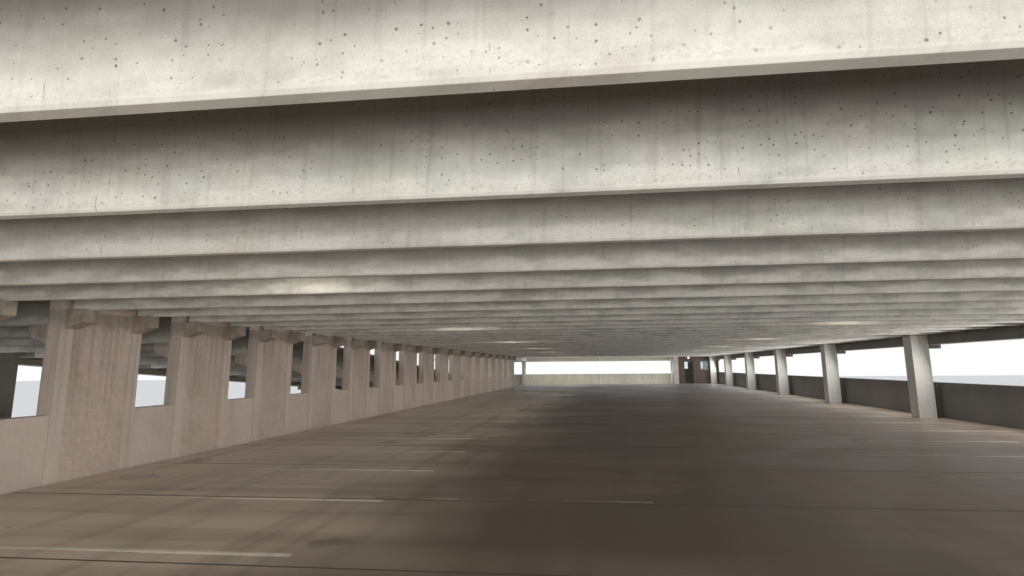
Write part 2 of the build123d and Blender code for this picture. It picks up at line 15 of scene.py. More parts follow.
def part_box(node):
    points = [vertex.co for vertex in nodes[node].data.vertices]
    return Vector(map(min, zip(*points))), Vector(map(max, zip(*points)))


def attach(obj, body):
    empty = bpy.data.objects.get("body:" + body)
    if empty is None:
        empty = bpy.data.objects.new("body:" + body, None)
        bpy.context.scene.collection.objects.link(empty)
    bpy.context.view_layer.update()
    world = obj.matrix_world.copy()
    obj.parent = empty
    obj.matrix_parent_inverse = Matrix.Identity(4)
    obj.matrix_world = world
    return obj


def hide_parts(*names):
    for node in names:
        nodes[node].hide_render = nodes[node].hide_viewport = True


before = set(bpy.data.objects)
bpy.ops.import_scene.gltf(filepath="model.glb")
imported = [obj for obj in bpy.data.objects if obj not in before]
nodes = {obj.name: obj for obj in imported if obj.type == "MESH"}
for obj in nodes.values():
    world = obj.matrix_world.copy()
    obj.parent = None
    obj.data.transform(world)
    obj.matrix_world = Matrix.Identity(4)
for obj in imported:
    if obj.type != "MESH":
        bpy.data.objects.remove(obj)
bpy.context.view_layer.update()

# %% [markdown]
# The places that many pieces share are measured on the frame once. A double tee is a concrete
# plank with two ribs, called stems, under a thin top called the flange. The decks are rows of
# them, side by side along Y, so the pitch of the tees sets out nearly everything else.

# %% Measure the building
TEES, TEES_PER_BAY = 24, 3  # from end to end, and between two columns
TEE_JOINT = 0.010           # open joint between two of them
FLANGE = 0.050
STEM_PITCH = 0.762
STEM_CHAMFER = 0.009
LEVELS = (1, 2)             # floors above the ground

bay_low, bay_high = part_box("level_1_bay_tees")
STOREY = bay_high.z
TEE_DEPTH = bay_high.z - bay_low.z
NEAR_Y = bay_low.y - TEE_JOINT / 2
TEE_PITCH = (bay_high.y - bay_low.y + TEE_JOINT) / TEES
BAY = TEES_PER_BAY * TEE_PITCH
ledge_low, ledge_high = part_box("east_spandrels")
west_low, west_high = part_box("west_spandrels")
LEDGE_X, LEDGE_DEPTH = ledge_low.x, 0.155
PARAPET = ledge_high.z - 2 * STOREY
barrier_low, barrier_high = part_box("pier_barriers")
PIER_X = (barrier_low.x + barrier_high.x) / 2
PIER_HALF, PIER_HALF_WIDTH = 0.0635, 0.468
CORBEL_X, CORBEL_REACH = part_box("wall_pier_01")[1].x, 0.165     # tip, and how far from the pier
COLUMN_SIZE = 0.263
NOTCH_GAP = 0.012           # round a column where it passes a deck
RAMP_TEES = 18
SLOPE = STOREY / (RAMP_TEES * TEE_PITCH)
ramp_low, ramp_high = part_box("upper_ramp_tees")
RAMP_START_Y = ramp_low.y - TEE_JOINT / 2
RAMP_END_Y = RAMP_START_Y + RAMP_TEES * TEE_PITCH
FILL_TOP = 0.62             # below this the lower ramp is fill, which has no joints
SLACK = 0.1                 # places closer than this count as the same
print("storey", round(STOREY, 3), "tee pitch", round(TEE_PITCH, 4), "slope", round(SLOPE, 4))

# %% [markdown]
# The camera stands on the first upper floor, near the open end, at eye height, turned a little
# to the left and tipped up. A camera's place and lens can be worked out from edges whose real
# positions are known: here the feet of the stems, the edges of the piers and the columns. The
# uprights lean outwards more than the horizon's height alone would make them, which shows that
# the picture is the lower part of a taller one, so the frame sits a little below the lens's
# axis. The camera's own axes are then written as the columns of a matrix, which avoids any
# confusion over turning order.

# %% Camera
EYE = Vector((1.2005, NEAR_Y + 1.589, STOREY + 0.8267))
LENS = 24.05
FRAME_SHIFT = -0.0566
PITCH, YAW, ROLL = 0.1985, 0.1368, -0.0077


def put(name, data):
    """A new object, linked into the scene."""
    made = bpy.data.objects.new(name, data)
    bpy.context.scene.collection.objects.link(made)
    return made


def stand(thing, place, *axes):
    """Puts an object at a place, with its own X, Y and Z along the three given directions."""
    thing.matrix_world = Matrix.Translation(place) @ Matrix(axes).transposed().to_4x4()


def camera_axes(pitch, yaw, roll):
    """Forward leans up by the pitch and turns towards -X by the yaw. Right lies level, up is
    right x forward, and both are then turned about forward by the roll."""
    forward = Vector((-np.sin(yaw) * np.cos(pitch), np.cos(yaw) * np.cos(pitch), np.sin(pitch)))
    level = Vector((np.cos(yaw), np.sin(yaw), 0))
    up = level.cross(forward)
    right = level * np.cos(roll) + up * np.sin(roll)
    return right, up * np.cos(roll) - level * np.sin(roll), forward


right, up, forward = camera_axes(PITCH, YAW, ROLL)
camera = put("camera", bpy.data.cameras.new("camera"))
camera.data.lens, camera.data.shift_y = LENS, FRAME_SHIFT
camera.data.clip_start, camera.data.clip_end = 0.02, 400
stand(camera, EYE, right, up, -forward)
bpy.context.scene.camera = camera
print("camera at", [round(v, 3) for v in EYE])

# %% [markdown]
# Materials are graphs of nodes. Written out one by one they fill pages, so a few short helpers
# come first: one adds a node and fills its sockets, the others are the steps that every finish
# needs, such as sums, soft thresholds, stains and noise. Flat noise takes half the time of solid
# noise, and nearly every surface here is flat.

# %% Node helpers
def fill(tree, socket, value):
    """Links a socket to the given one, or writes the given number, colour or vector into it."""
    if isinstance(value, bpy.types.NodeSocket):
        tree.links.new(value, socket)
    elif hasattr(value, "__len__") and len(value) == 3 and socket.type == "RGBA":
        socket.default_value = (*value, 1)
    else:
        socket.default_value = value


def add(tree, kind, inputs, **settings):
    """A new node with its settings and the named or numbered inputs."""
    made = tree.nodes.new("ShaderNode" + kind)
    for name, value in settings.items():
        setattr(made, name, value)
    for name, value in inputs.items():
        fill(tree, made.inputs[name], value)
    return made


def calc(tree, operation, *values):
    return add(tree, "Math", dict(enumerate(values)), operation=operation).outputs[0]


def minus(tree, first, second):
    return calc(tree, "SUBTRACT", first, second)


def times(tree, product, *others):
    for other in others:
        product = calc(tree, "MULTIPLY", product, other)
    return product


def scaled(tree, value, factor, start):
    """The start plus the value times the factor."""
    return calc(tree, "MULTIPLY_ADD", value, factor, start)


def soft_step(tree, value, start, end):
    """0 up to start, 1 from end on, and a smooth S between. End may be below start."""
    return add(tree, "MapRange", {"Value": value, "From Min": start, "From Max": end},
               interpolation_type="SMOOTHSTEP").outputs["Result"]


def mix(tree, factor, first, second, blend_type="MIX"):
    return add(tree, "Mix", {0: factor, 6: first, 7: second},
               data_type="RGBA", blend_type=blend_type).outputs[2]


def stain(tree, base, *layers):
    """Lays stains over a colour in turn. Each is a tone, the mask that says where it lies, and
    how much of the tone there is where the mask is 1."""
    for tone, mask, strength in layers:
        base = mix(tree, times(tree, mask, strength), base, tone)
    return base


def stretch(tree, vector, scale):
    """The place multiplied along each axis, which draws a pattern out along the small ones."""
    return add(tree, "VectorMath", {0: vector, 1: scale}, operation="MULTIPLY").outputs[0]


def noise(tree, vector, scale, detail=3.0, roughness=0.6, distortion=0.0):
    return add(tree, "TexNoise", {"Vector": vector, "Scale": scale, "Detail": detail,
                                  "Roughness": roughness, "Distortion": distortion},
               noise_dimensions="2D").outputs["Fac"]


def parts_of(tree, vector):
    """The X, Y and Z sockets of a vector."""
    return add(tree, "SeparateXYZ", {0: vector}).outputs


def unfold(tree, place, lean):
    """Lays upright and level faces out flat at once: across is x + 0.8 y, up is z + lean times
    y. With no lean a level line stays level on every wall."""
    x, y, z = parts_of(tree, place)
    return add(tree, "CombineXYZ", {0: scaled(tree, y, 0.8, x),
                                    1: scaled(tree, y, lean, z)}).outputs[0]


# %% [markdown]
# An effect that several materials use becomes a node group: a graph with named sockets that is
# built once and placed wherever it is needed. This helper opens one and hands back its inputs
# by name.

# %% Group helpers
SOCKETS = {"vector": "NodeSocketVector", "colour": "NodeSocketColor", "number": "NodeSocketFloat"}
FINISH = {"Color": "colour", "Roughness": "number", "Height": "number"}


def open_group(name, inputs, outputs):
    """A new group with the named inputs and outputs. Returns its tree, inputs and output node."""
    tree = bpy.data.node_groups.new(name, "ShaderNodeTree")
    for direction, sockets in (("INPUT", inputs), ("OUTPUT", outputs)):
        for socket, kind in sockets.items():
            tree.interface.new_socket(socket, in_out=direction, socket_type=SOCKETS[kind])
    entry = tree.nodes.new("NodeGroupInput")
    given = {socket: entry.outputs[socket] for socket in inputs}
    return tree, given, tree.nodes.new("NodeGroupOutput")


def close_group(tree, out, *values):
    """Feeds the outputs of a group, in their order."""
    for socket, value in zip(out.inputs, values):
        fill(tree, socket, value)
    print("group", tree.name, len(tree.nodes), "nodes")
    return tree


def place_group(tree, group, **inputs):
    """Puts a group into a tree. Spaces in a socket's name are written as underscores."""
    made = tree.nodes.new("ShaderNodeGroup")
    made.node_tree = group
    for name, value in inputs.items():
        fill(tree, made.inputs[name.replace("_", " ")], value)
    return made.outputs


# %% [markdown]
# Concrete that was cast against steel has a skin of its own. Air trapped at the form leaves
# small holes, a few of them large and most of them tiny. The form's sheets leave long level
# streaks, water leaves upright ones, and the paste dries in pale and dull clouds, some a little
# pink and some a little green. The holes are Voronoi cells with a random radius for each, and
# the streaks are noise drawn out along one axis.

# %% Group: form-cast concrete
LEAN = 0.6                  # unfolds a surface so that level faces get a pattern too


def holes(tree, place, scale, largest, ragged):
    """Pits: 1 where the distance to a cell's centre, with a ragged edge, is less than that
    cell's own radius, which is its random number cubed times the largest radius."""
    cells = add(tree, "TexVoronoi", {"Vector": place, "Scale": scale, "Randomness": 1.0},
                voronoi_dimensions="2D")
    chance = parts_of(tree, cells.outputs["Color"])[0]
    radius = scaled(tree, calc(tree, "POWER", chance, 3.0), largest, 0.0001)
    away = calc(tree, "ADD", cells.outputs["Distance"], ragged)
    return soft_step(tree, calc(tree, "DIVIDE", away, radius), 1.0, 0.6)


def build_form_cast():
    tree, given, out = open_group("form_cast_concrete", {
        "Place": "vector", "Pale": "colour", "Dull": "colour", "Air holes": "number",
        "Form streaks": "number", "Water marks": "number"}, FINISH)
    flat, wall = unfold(tree, given["Place"], LEAN), unfold(tree, given["Place"], 0.0)
    clouds = soft_step(tree, noise(tree, flat, 1.3, 2), 0.3, 0.7)
    spots = soft_step(tree, noise(tree, flat, 17, 3, 0.7), 0.28, 0.72)
    level = noise(tree, stretch(tree, wall, (0.8, 24, 1)), 1.3, 2)
    upright = noise(tree, stretch(tree, wall, (34, 1.3, 1)), 1.0, 3, 0.7)
    grain = noise(tree, flat, 300, 1)
    tint = noise(tree, flat, 2.6, 1)
    streaks = times(tree, soft_step(tree, level, 0.45, 0.68), given["Form streaks"])
    marks = times(tree, soft_step(tree, upright, 0.5, 0.75), given["Water marks"])
    ragged = scaled(tree, noise(tree, flat, 190, 0), 0.05, -0.025)
    pits = calc(tree, "MAXIMUM", holes(tree, flat, 13, 0.055, ragged),
                holes(tree, flat, 44, 0.15, ragged))
    where = soft_step(tree, noise(tree, flat, 2.4, 1), 0.28, 0.45)
    pits = times(tree, pits, where, given["Air holes"])

    tone = scaled(tree, spots, 0.45, times(tree, clouds, 0.55))
    base = mix(tree, tone, given["Dull"], given["Pale"])
    for tinted, start, end in (((1.0, 0.86, 0.82), 0.55, 0.75), ((0.9, 0.93, 0.82), 0.42, 0.25)):
        base = stain(tree, base, (mix(tree, 1.0, base, tinted, "MULTIPLY"),
                                  soft_step(tree, tint, start, end), 0.3))
    base = stain(tree, base, (given["Dull"], streaks, 0.6), ((0.2, 0.17, 0.15), marks, 0.55))
    speck = mix(tree, soft_step(tree, grain, 0.25, 0.6), (0.62, 0.6, 0.58), (1, 1, 1))
    base = mix(tree, 0.3, base, speck, "MULTIPLY")
    base = stain(tree, base, ((0.115, 0.117, 0.13), pits, 0.8))
    return close_group(tree, out, base, scaled(tree, spots, 0.15, 0.7),
                       scaled(tree, grain, 0.15, times(tree, pits, -1.0)))


FORM_CAST = build_form_cast()

# %% [markdown]
# The top of each deck is driven on. It was floated smooth, so it shines a little at a low angle,
# and use has polished and darkened the aisle, while the stalls at both sides stay paler and
# collect round drips of oil. The aisle is told from the stalls by its distance from the middle.
# Towards the far end the whole deck gets a painted blue-grey sheen, for the sky that it reflects.

# %% Group: driven concrete
# Painted sheen: where the far deck's blue-grey for the reflected sky starts, and where it is full.
PAINTED_SHEEN_Y = (-6.0, 12.0)     # where the far part's grey starts, and where it is full


def build_driven():
    tree, given, out = open_group("driven_concrete", {
        "Place": "vector", "Aisle": "colour", "Stalls": "colour", "Aisle middle": "number",
        "Aisle half width": "number"}, FINISH)
    place = given["Place"]
    x, y = parts_of(tree, place)[:2]
    off = calc(tree, "ABSOLUTE", minus(tree, x, given["Aisle middle"]))
    wobble = times(tree, noise(tree, place, 0.6, 1), 1.4)
    edge = calc(tree, "ADD", minus(tree, off, given["Aisle half width"]), wobble)
    stalls = soft_step(tree, edge, 0.1, 1.5)
    clouds = soft_step(tree, noise(tree, place, 0.45, 4, 0.65, 0.8), 0.33, 0.67)
    across = soft_step(tree, noise(tree, stretch(tree, place, (0.2, 3.2, 1)), 1.0, 3), 0.42, 0.7)
    tracks = soft_step(tree, noise(tree, stretch(tree, place, (5, 0.25, 1)), 1.0, 3), 0.45, 0.75)
    grain = noise(tree, place, 240, 1)
    ragged = scaled(tree, noise(tree, place, 7, 2), 0.12, -0.05)
    oil = times(tree, holes(tree, place, 0.8, 0.17, ragged), stalls)

    base = stain(tree, mix(tree, stalls, given["Aisle"], given["Stalls"]),
                 (given["Stalls"], clouds, 0.22),
                 # painted reflection of the sky on the far deck
                 ((0.21, 0.235, 0.275), soft_step(tree, y, *PAINTED_SHEEN_Y), 0.6),
                 (given["Aisle"], tracks, 0.35),
                 (given["Aisle"], across, 0.3),
                 ((0.03, 0.026, 0.022), oil, 0.6))
    speck = mix(tree, soft_step(tree, grain, 0.25, 0.65), (0.6, 0.6, 0.6), (1, 1, 1))
    dull = scaled(tree, clouds, 0.14, 0.3)
    return close_group(tree, out, mix(tree, 0.35, base, speck, "MULTIPLY"),
                       scaled(tree, oil, -0.12, dull), times(tree, grain, 0.12))


DRIVEN = build_driven()

# %% [markdown]
# Rain that runs over the top of a wall carries soot down its face in upright streaks, which
# start dark at the edge and fade below it. The wall tells the group how far each point lies
# under its own top.

# %% Group: rain streaks
def build_rain():
    tree, given, out = open_group("rain_streaks", {
        "Place": "vector", "Below top": "number", "Reach": "number"}, {"Mask": "number"})
    wall = unfold(tree, given["Place"], 0.0)
    fine = noise(tree, stretch(tree, wall, (24, 0.6, 1)), 1.0, 3)
    broad = noise(tree, stretch(tree, wall, (4, 0.3, 1)), 1.0, 1)
    length = times(tree, given["Reach"], times(tree, fine, broad))
    fade = calc(tree, "DIVIDE", given["Below top"], scaled(tree, length, 3.5, 0.01))
    return close_group(tree, out, times(tree, soft_step(tree, fade, 1.0, 0.1),
                                        soft_step(tree, fine, 0.38, 0.62)))


RAIN = build_rain()

# %% [markdown]
# A material ties such groups to one shader. All the concrete here ends the same way, so one
# function makes the shader, feeds it colour and roughness, and turns the height into a bump.

# %% Material helpers
def open_material(name):
    """A new material with its nodes cleared. Returns it with its tree and the object's place."""
    made = bpy.data.materials.new(name)
    made.use_nodes = True
    made.node_tree.nodes.clear()
    place = made.node_tree.nodes.new("ShaderNodeTexCoord").outputs["Object"]
    return made, made.node_tree, place


def close_material(tree, colour, roughness, height=None, relief=0.002, **constants):
    """The shader and the output. Relief is the bump's real height in metres."""
    shader = add(tree, "BsdfPrincipled",
                 {"Base Color": colour, "Roughness": roughness, **constants})
    if height is not None:
        bump = add(tree, "Bump", {"Height": height, "Distance": relief, "Strength": 1.0})
        fill(tree, shader.inputs["Normal"], bump.outputs[0])
    fill(tree, tree.nodes.new("ShaderNodeOutputMaterial").inputs[0], shader.outputs[0])
    return shader


def close_concrete(tree, colour, cast):
    """Ends a material in its own colour, with the roughness and height of a concrete group."""
    close_material(tree, colour, cast["Roughness"], cast["Height"])


def attribute(tree, name):
    return add(tree, "Attribute", {}, attribute_name=name).outputs["Fac"]


def shifted(tree, place, number, steps):
    """The place moved by a number times three steps, so that each piece gets its own pattern."""
    move = add(tree, "VectorMath", {0: steps, 3: number}, operation="SCALE").outputs[0]
    return add(tree, "VectorMath", {0: place, 1: move}, operation="ADD").outputs[0]


# %% [markdown]
# The tees are pale cast concrete below. Each stem was cast on another day, so its number along
# the building shifts the pattern and its tone a little. The top of a stem, close under the
# flange, gets a painted shade, the more so further inside the building, and its foot is chalky
# where the form leaked. The chamfer under the foot is clean, because a pattern that is laid out
# flat would be drawn slanting there. Hairline cracks stand upright across the feet, here and
# there, where the strands inside let go.

# %% Tee material
def below_deck(tree, place, slope):
    """How far a point lies under the top of its deck. On a ramp the deck falls along Y."""
    y, z = parts_of(tree, place)[1:]
    if slope:
        z = scaled(tree, minus(tree, y, RAMP_START_Y), slope, z)
    storeys = calc(tree, "DIVIDE", minus(tree, z, 0.0005), STOREY)
    return times(tree, minus(tree, calc(tree, "CEIL", storeys), storeys), STOREY)


def hairlines(tree, place, number):
    """Upright lines at random places along X, others on every stem, broken into dashes."""
    broken = noise(tree, unfold(tree, place, 0.0), 19, 1)
    wander = times(tree, broken, 0.006)
    along = calc(tree, "ADD", scaled(tree, number, 7.31, parts_of(tree, place)[0]), wander)
    line = add(tree, "TexVoronoi", {"W": along, "Scale": 0.9}, voronoi_dimensions="1D",
               feature="DISTANCE_TO_EDGE").outputs["Distance"]
    return times(tree, soft_step(tree, line, 0.0014, 0.0005), soft_step(tree, broken, 0.4, 0.55))


def make_tee_material(name, slope):
    made, tree, place = open_material(name)
    along = minus(tree, parts_of(tree, place)[1], NEAR_Y)
    number = calc(tree, "FLOOR", calc(tree, "DIVIDE", along, STEM_PITCH))
    moved = shifted(tree, place, number, (3.7, 0, 1.3))
    chance = add(tree, "TexWhiteNoise", {"W": number}, noise_dimensions="1D").outputs["Value"]
    depth = below_deck(tree, place, slope)
    above_foot = soft_step(tree, depth, TEE_DEPTH - STEM_CHAMFER, TEE_DEPTH - STEM_CHAMFER - 0.008)
    cast = place_group(tree, FORM_CAST, Place=moved, Pale=(0.76, 0.76, 0.705),
                       Dull=(0.55, 0.545, 0.5), Air_holes=above_foot, Form_streaks=0.5,
                       Water_marks=0.4)

    uneven = noise(tree, stretch(tree, unfold(tree, moved, 0.0), (1, 3, 1)), 3.5, 2)
    lifted = scaled(tree, uneven, 0.1, depth)
    # Painted shade: the top of each stem under the flange, and more of it further inside the
    # building.
    painted_shade_under_flange = soft_step(tree, lifted, 0.36, 0.17)
    inside = times(tree, soft_step(tree, along, 3.2, 5.5), soft_step(tree, lifted, 0.395, 0.3))
    chalk = times(tree, soft_step(tree, lifted, 0.33, 0.38), soft_step(tree, uneven, 0.35, 0.6))
    fine = noise(tree, stretch(tree, unfold(tree, moved, LEAN), (1, 1.4, 1)), 75, 2, 0.8)
    leaked = times(tree, soft_step(tree, fine, 0.5, 0.62), soft_step(tree, lifted, 0.3, 0.42),
                   above_foot)
    foot = times(tree, soft_step(tree, depth, 0.17, 0.3), soft_step(tree, uneven, 0.47, 0.53))
    cracks = times(tree, hairlines(tree, place, number), foot)
    colour = stain(tree, cast["Color"],
                   ((0.45, 0.42, 0.37), chance, 0.28),
                   # painted shade under the flange, then more painted shade further inside
                   ((0.12, 0.112, 0.1), painted_shade_under_flange, 0.72),
                   ((0.14, 0.13, 0.115), inside, 0.4),
                   ((0.8, 0.785, 0.73), chalk, 0.5),
                   ((0.4, 0.36, 0.3), leaked, 0.3),
                   ((0.14, 0.125, 0.11), cracks, 0.7))
    close_concrete(tree, colour, cast)
    return made


TEE = make_tee_material("tee_concrete", 0.0)
RAMP_TEE = make_tee_material("ramp_tee_concrete", SLOPE)
print("tee material:", len(TEE.node_tree.nodes), "nodes")

# %% [markdown]
# Their tops are the driven concrete, in a material of its own, so that a ray that meets a stem
# never has to work the deck out as well.

# %% Deck material
STALL = 2.72                # length of a parking stall, from the walls inwards
AISLE_X = (CORBEL_X + LEDGE_X) / 2
AISLE_HALF = AISLE_X - CORBEL_X - STALL
WORN_EAST = 1.2             # the stalls on the east are worn this far in, so the aisle reads wider
AISLE_TONE, STALL_TONE = (0.107, 0.074, 0.051), (0.56, 0.455, 0.35)


def driven(tree, place):
    return place_group(tree, DRIVEN, Place=place, Aisle=AISLE_TONE, Stalls=STALL_TONE,
                       Aisle_middle=AISLE_X + WORN_EAST, Aisle_half_width=AISLE_HALF + WORN_EAST)


DECK, tree, place = open_material("deck_concrete")
top = driven(tree, place)
close_concrete(tree, top["Color"], top)
print("aisle from", round(AISLE_X - AISLE_HALF, 2), "to", round(AISLE_X + AISLE_HALF, 2))

# %% [markdown]
# The columns and outer panels are cast concrete too, each from another mix. One function makes
# them from a pale and a dull colour and says how much of each fault shows. The inner faces of
# the long panels along the stalls stand in shade, so they get a dark copy as painted shade, and
# so do the brackets on the columns that carry these panels. The meshes carry two numbers at each
# point that the material reads: how far the point lies under the top of its own panel, and a
# random number for the panel.

# %% Panel materials
# Dark tone: soot in the rain streaks, and painted shade on the column brackets.
SOOT_AND_SHADE = (0.15, 0.135, 0.12)


def open_cast(name, pale, dull, air_holes, streaks, marks):
    """Opens a material of cast concrete with another pattern on every panel. Returns it with its
    tree and place, the moved place, the panel's random number and the concrete."""
    made, tree, place = open_material(name)
    own = attribute(tree, "panel_chance")
    moved = shifted(tree, place, own, (50, 0, 31))
    cast = place_group(tree, FORM_CAST, Place=moved, Pale=pale, Dull=dull, Air_holes=air_holes,
                       Form_streaks=streaks, Water_marks=marks)
    return made, tree, place, moved, own, cast


def make_panel_material(name, pale, dull, air_holes, streaks, marks, rain, shaded_bracket_x=None):
    """All that lies further than the given x from the building's middle gets a painted shade, if
    it's given.
    """
    made, tree, place, moved, own, cast = open_cast(name, pale, dull, air_holes, streaks, marks)
    wet = place_group(tree, RAIN, Place=moved, Below_top=attribute(tree, "below_top"), Reach=rain)
    colour = stain(tree, cast["Color"], (dull, own, 0.3), (SOOT_AND_SHADE, wet["Mask"], 0.3))
    # Painted shade on the brackets outside the ledge, which stand in shade.
    if shaded_bracket_x:
        off = calc(tree, "ABSOLUTE", parts_of(tree, place)[0])
        shaded_bracket = soft_step(tree, off, shaded_bracket_x + 0.003, shaded_bracket_x + 0.012)
        colour = stain(tree, colour, (SOOT_AND_SHADE, shaded_bracket, 0.85))
    close_concrete(tree, colour, cast)
    return made


SPANDREL = make_panel_material("spandrel_concrete", (0.68, 0.64, 0.54), (0.54, 0.5, 0.41),
                               0.3, 0.2, 0.2, 0.5)
# Painted shade: a dark copy of the panel concrete for inner faces that stand in shade.
SHADED_SIDE = make_panel_material("shaded_side_concrete", (0.205, 0.197, 0.19), (0.14, 0.134, 0.13),
                             0.3, 0.2, 0.4, 0.3)
COLUMN = make_panel_material("column_concrete", (0.58, 0.565, 0.515), (0.45, 0.435, 0.395),
                             0.5, 0.2, 0.4, 0.4, shaded_bracket_x=LEDGE_X)
CAP = make_panel_material("roof_concrete", (0.52, 0.5, 0.46), (0.4, 0.385, 0.35),
                          0.3, 0.2, 0.4, 0.4)
print("panel materials:", ", ".join(m.name for m in (SPANDREL, SHADED_SIDE, COLUMN, CAP)))

# %% [markdown]
# The piers have a browner skin. At each storey water soaks down from the deck joints over their
# heads, a band under each deck gets a painted shade, the brackets that carry the stems are darker
# in patches near their tops, and the raised borders dried paler than the sunk panels. The pier's
# place in the row of tees tells the border from the panel.

# %% Pier material
PANEL_HALF = PIER_HALF_WIDTH - 0.130    # half the sunk panel, inside its border


def make_pier_material():
    made, tree, place, moved, _, cast = open_cast(
        "pier_concrete", (0.69, 0.57, 0.485), (0.51, 0.4, 0.335), 0.5, 0.25, 0.18)
    x, y = parts_of(tree, place)[:2]
    turn = calc(tree, "DIVIDE", minus(tree, y, NEAR_Y), TEE_PITCH)
    aside = times(tree, calc(tree, "ABSOLUTE", minus(tree, calc(tree, "FRACT", turn), 0.5)),
                  TEE_PITCH)
    border = soft_step(tree, aside, PANEL_HALF - 0.006, PANEL_HALF + 0.004)
    lowered = add(tree, "VectorMath", {0: place, 1: (0, 0, TEE_DEPTH)}).outputs[0]
    drop = below_deck(tree, lowered, 0.0)
    soak = place_group(tree, RAIN, Place=moved, Below_top=drop, Reach=1.1)["Mask"]
    blotch = noise(tree, unfold(tree, moved, 0.0), 7, 3)
    # Painted shade: a darker band under each deck.
    head = soft_step(tree, scaled(tree, blotch, 0.12, drop), 0.22, 0.14)
    proud = minus(tree, calc(tree, "ABSOLUTE", minus(tree, x, PIER_X)), PIER_HALF)
    # Darker patches on the brackets near their tops.
    on_corbel = times(tree, soft_step(tree, proud, 0.004, 0.02), soft_step(tree, drop, 0.25, 0.22),
                      soft_step(tree, blotch, 0.3, 0.62))
    colour = stain(tree, cast["Color"],
                   ((0.66, 0.59, 0.51), border, 0.45),
                   ((0.19, 0.145, 0.12), soak, 0.3),
                   # painted shade under the deck
                   ((0.26, 0.225, 0.18), head, 0.42),
                   ((0.2, 0.165, 0.13), on_corbel, 0.5))
    close_concrete(tree, colour, cast)
    return made


PIER = make_pier_material()
print("pier material:", len(PIER.node_tree.nodes), "nodes")

# %% [markdown]
# A cast edge is never sharp: the form has a small fillet strip, and the arris breaks. The frame's
# meshes are loose triangles, so each is copied, its points are merged and its flat faces joined,
# and a Bevel modifier rounds what is left. The copy stands for the node. First come the two
# numbers per point, which are worked out on each separate solid of the copy.

# %% Numbers for each panel
rng = np.random.default_rng(7)


def read(items, key, width, kind=float):
    """The values of a mesh's points, edges or faces, as rows of an array."""
    values = np.empty(len(items) * width, kind)
    items.foreach_get(key, values)
    return values.reshape(-1, width)


def islands(mesh):
    """The number of the connected solid that each vertex belongs to. Every vertex starts with
    its own number, and each edge gives both its ends the smaller one until nothing changes."""
    ends = read(mesh.edges, "vertices", 2, np.int32)
    label = np.arange(len(mesh.vertices))
    while True:
        low = label[ends].min(axis=1)
        after = label.copy()
        np.minimum.at(after, ends[:, 0], low)
        np.minimum.at(after, ends[:, 1], low)
        if (after == label).all():
            return np.unique(label, return_inverse=True)[1]
        label = after


def point_number(mesh, name, values):
    """Stores one number per point, under a name that a material can read."""
    made = mesh.attributes.new(name, "FLOAT", "POINT")
    made.data.foreach_set("value", np.asarray(values, np.float32))


def panel_numbers(mesh):
    """Adds the two numbers per point. The top of a solid is a straight line along Y through its
    highest points at both ends, so sloped panels are right too."""
    near = 0.02                 # what counts as the end of a solid
    points, part = read(mesh.vertices, "co", 3), islands(mesh)
    below, chance = np.zeros(len(points)), np.zeros(len(points))
    for number in range(part.max() + 1):
        mine = part == number
        y, z = points[mine, 1], points[mine, 2]
        start, end = y.min(), y.max()
        low, high = z[y < start + near].max(), z[y > end - near].max()
        top = low + (high - low) * (y - start) / (end - start)
        below[mine], chance[mine] = np.maximum(top - z, 0), rng.random()
    point_number(mesh, "below_top", below)
    point_number(mesh, "panel_chance", chance)
    return part.max() + 1


# %% [markdown]
# Then each node gets its own material and its own width of arris: a few millimetres on the
# piers and columns, less on the thin tees, whose level tops get the deck's material.

# %% Softened copies
def keep(piece, slot, *replaced):
    """Lets a finished piece ride on the building and hides the nodes that it stands for. The slot
    is not used.
    """
    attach(piece, "root")
    if replaced:
        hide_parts(*replaced)
    return piece


def soften(node, material, slot, width, second=None, looking=(0, 0, 1)):
    """A merged copy of a node with rounded edges, which stands for it. With a second material
    the faces that look the given way get that one."""
    shape = bmesh.new()
    shape.from_mesh(nodes[node].data)
    bmesh.ops.remove_doubles(shape, verts=shape.verts, dist=1e-5)
    bmesh.ops.dissolve_limit(shape, angle_limit=0.01, verts=shape.verts, edges=shape.edges)
    mesh = bpy.data.meshes.new(node + "_cast")
    shape.to_mesh(mesh)
    shape.free()
    solids = panel_numbers(mesh)
    mesh.materials.append(material)
    if second:
        mesh.materials.append(second)
        chosen = read(mesh.polygons, "normal", 3) @ np.array(looking) > 0.6
        mesh.polygons.foreach_set("material_index", chosen.astype(np.int32))
    piece = put(node + "_cast", mesh)
    bevel = piece.modifiers.new("arris", "BEVEL")
    bevel.width, bevel.segments, bevel.limit_method, bevel.angle_limit = width, 2, "ANGLE", 0.5
    bevel.loop_slide = False
    keep(piece, slot, node)
    return solids


PIERS = sorted(name for name in nodes if name.startswith("wall_pier"))
SOFT = (
    (PIERS, PIER, "pier_concrete", 0.006),
    (["pier_barriers"], PIER, "pier_concrete", 0.005),
    (["east_columns", "west_columns", "inner_columns"], COLUMN, "column_concrete", 0.008),
    (["west_spandrels", "ground_walls", "near_end_walls", "far_end_walls", "ramp_head_wall"],
     SPANDREL, "spandrel_concrete", 0.004),
    # the inner faces get the painted-shade copy
    (["east_spandrels"], SPANDREL, "spandrel_concrete", 0.004, SHADED_SIDE, (-1, 0, 0)),
    (["stair_tower_roof"], CAP, "roof_concrete", 0.006),
    (["stair_tower_landings"], CAP, "roof_concrete", 0.003),
    (["crossover_girders"], TEE, "tee_concrete", 0.004),
    (["level_1_bay_tees", "level_2_bay_tees", "crossover_tees"], TEE, "tee_concrete", 0.002, DECK),
    (["upper_ramp_tees", "lower_ramp_tees"], RAMP_TEE, "tee_concrete", 0.002, DECK),
    (["lower_ramp_fill"], RAMP_TEE, "ramp_fill_concrete", 0.002, DECK),
)
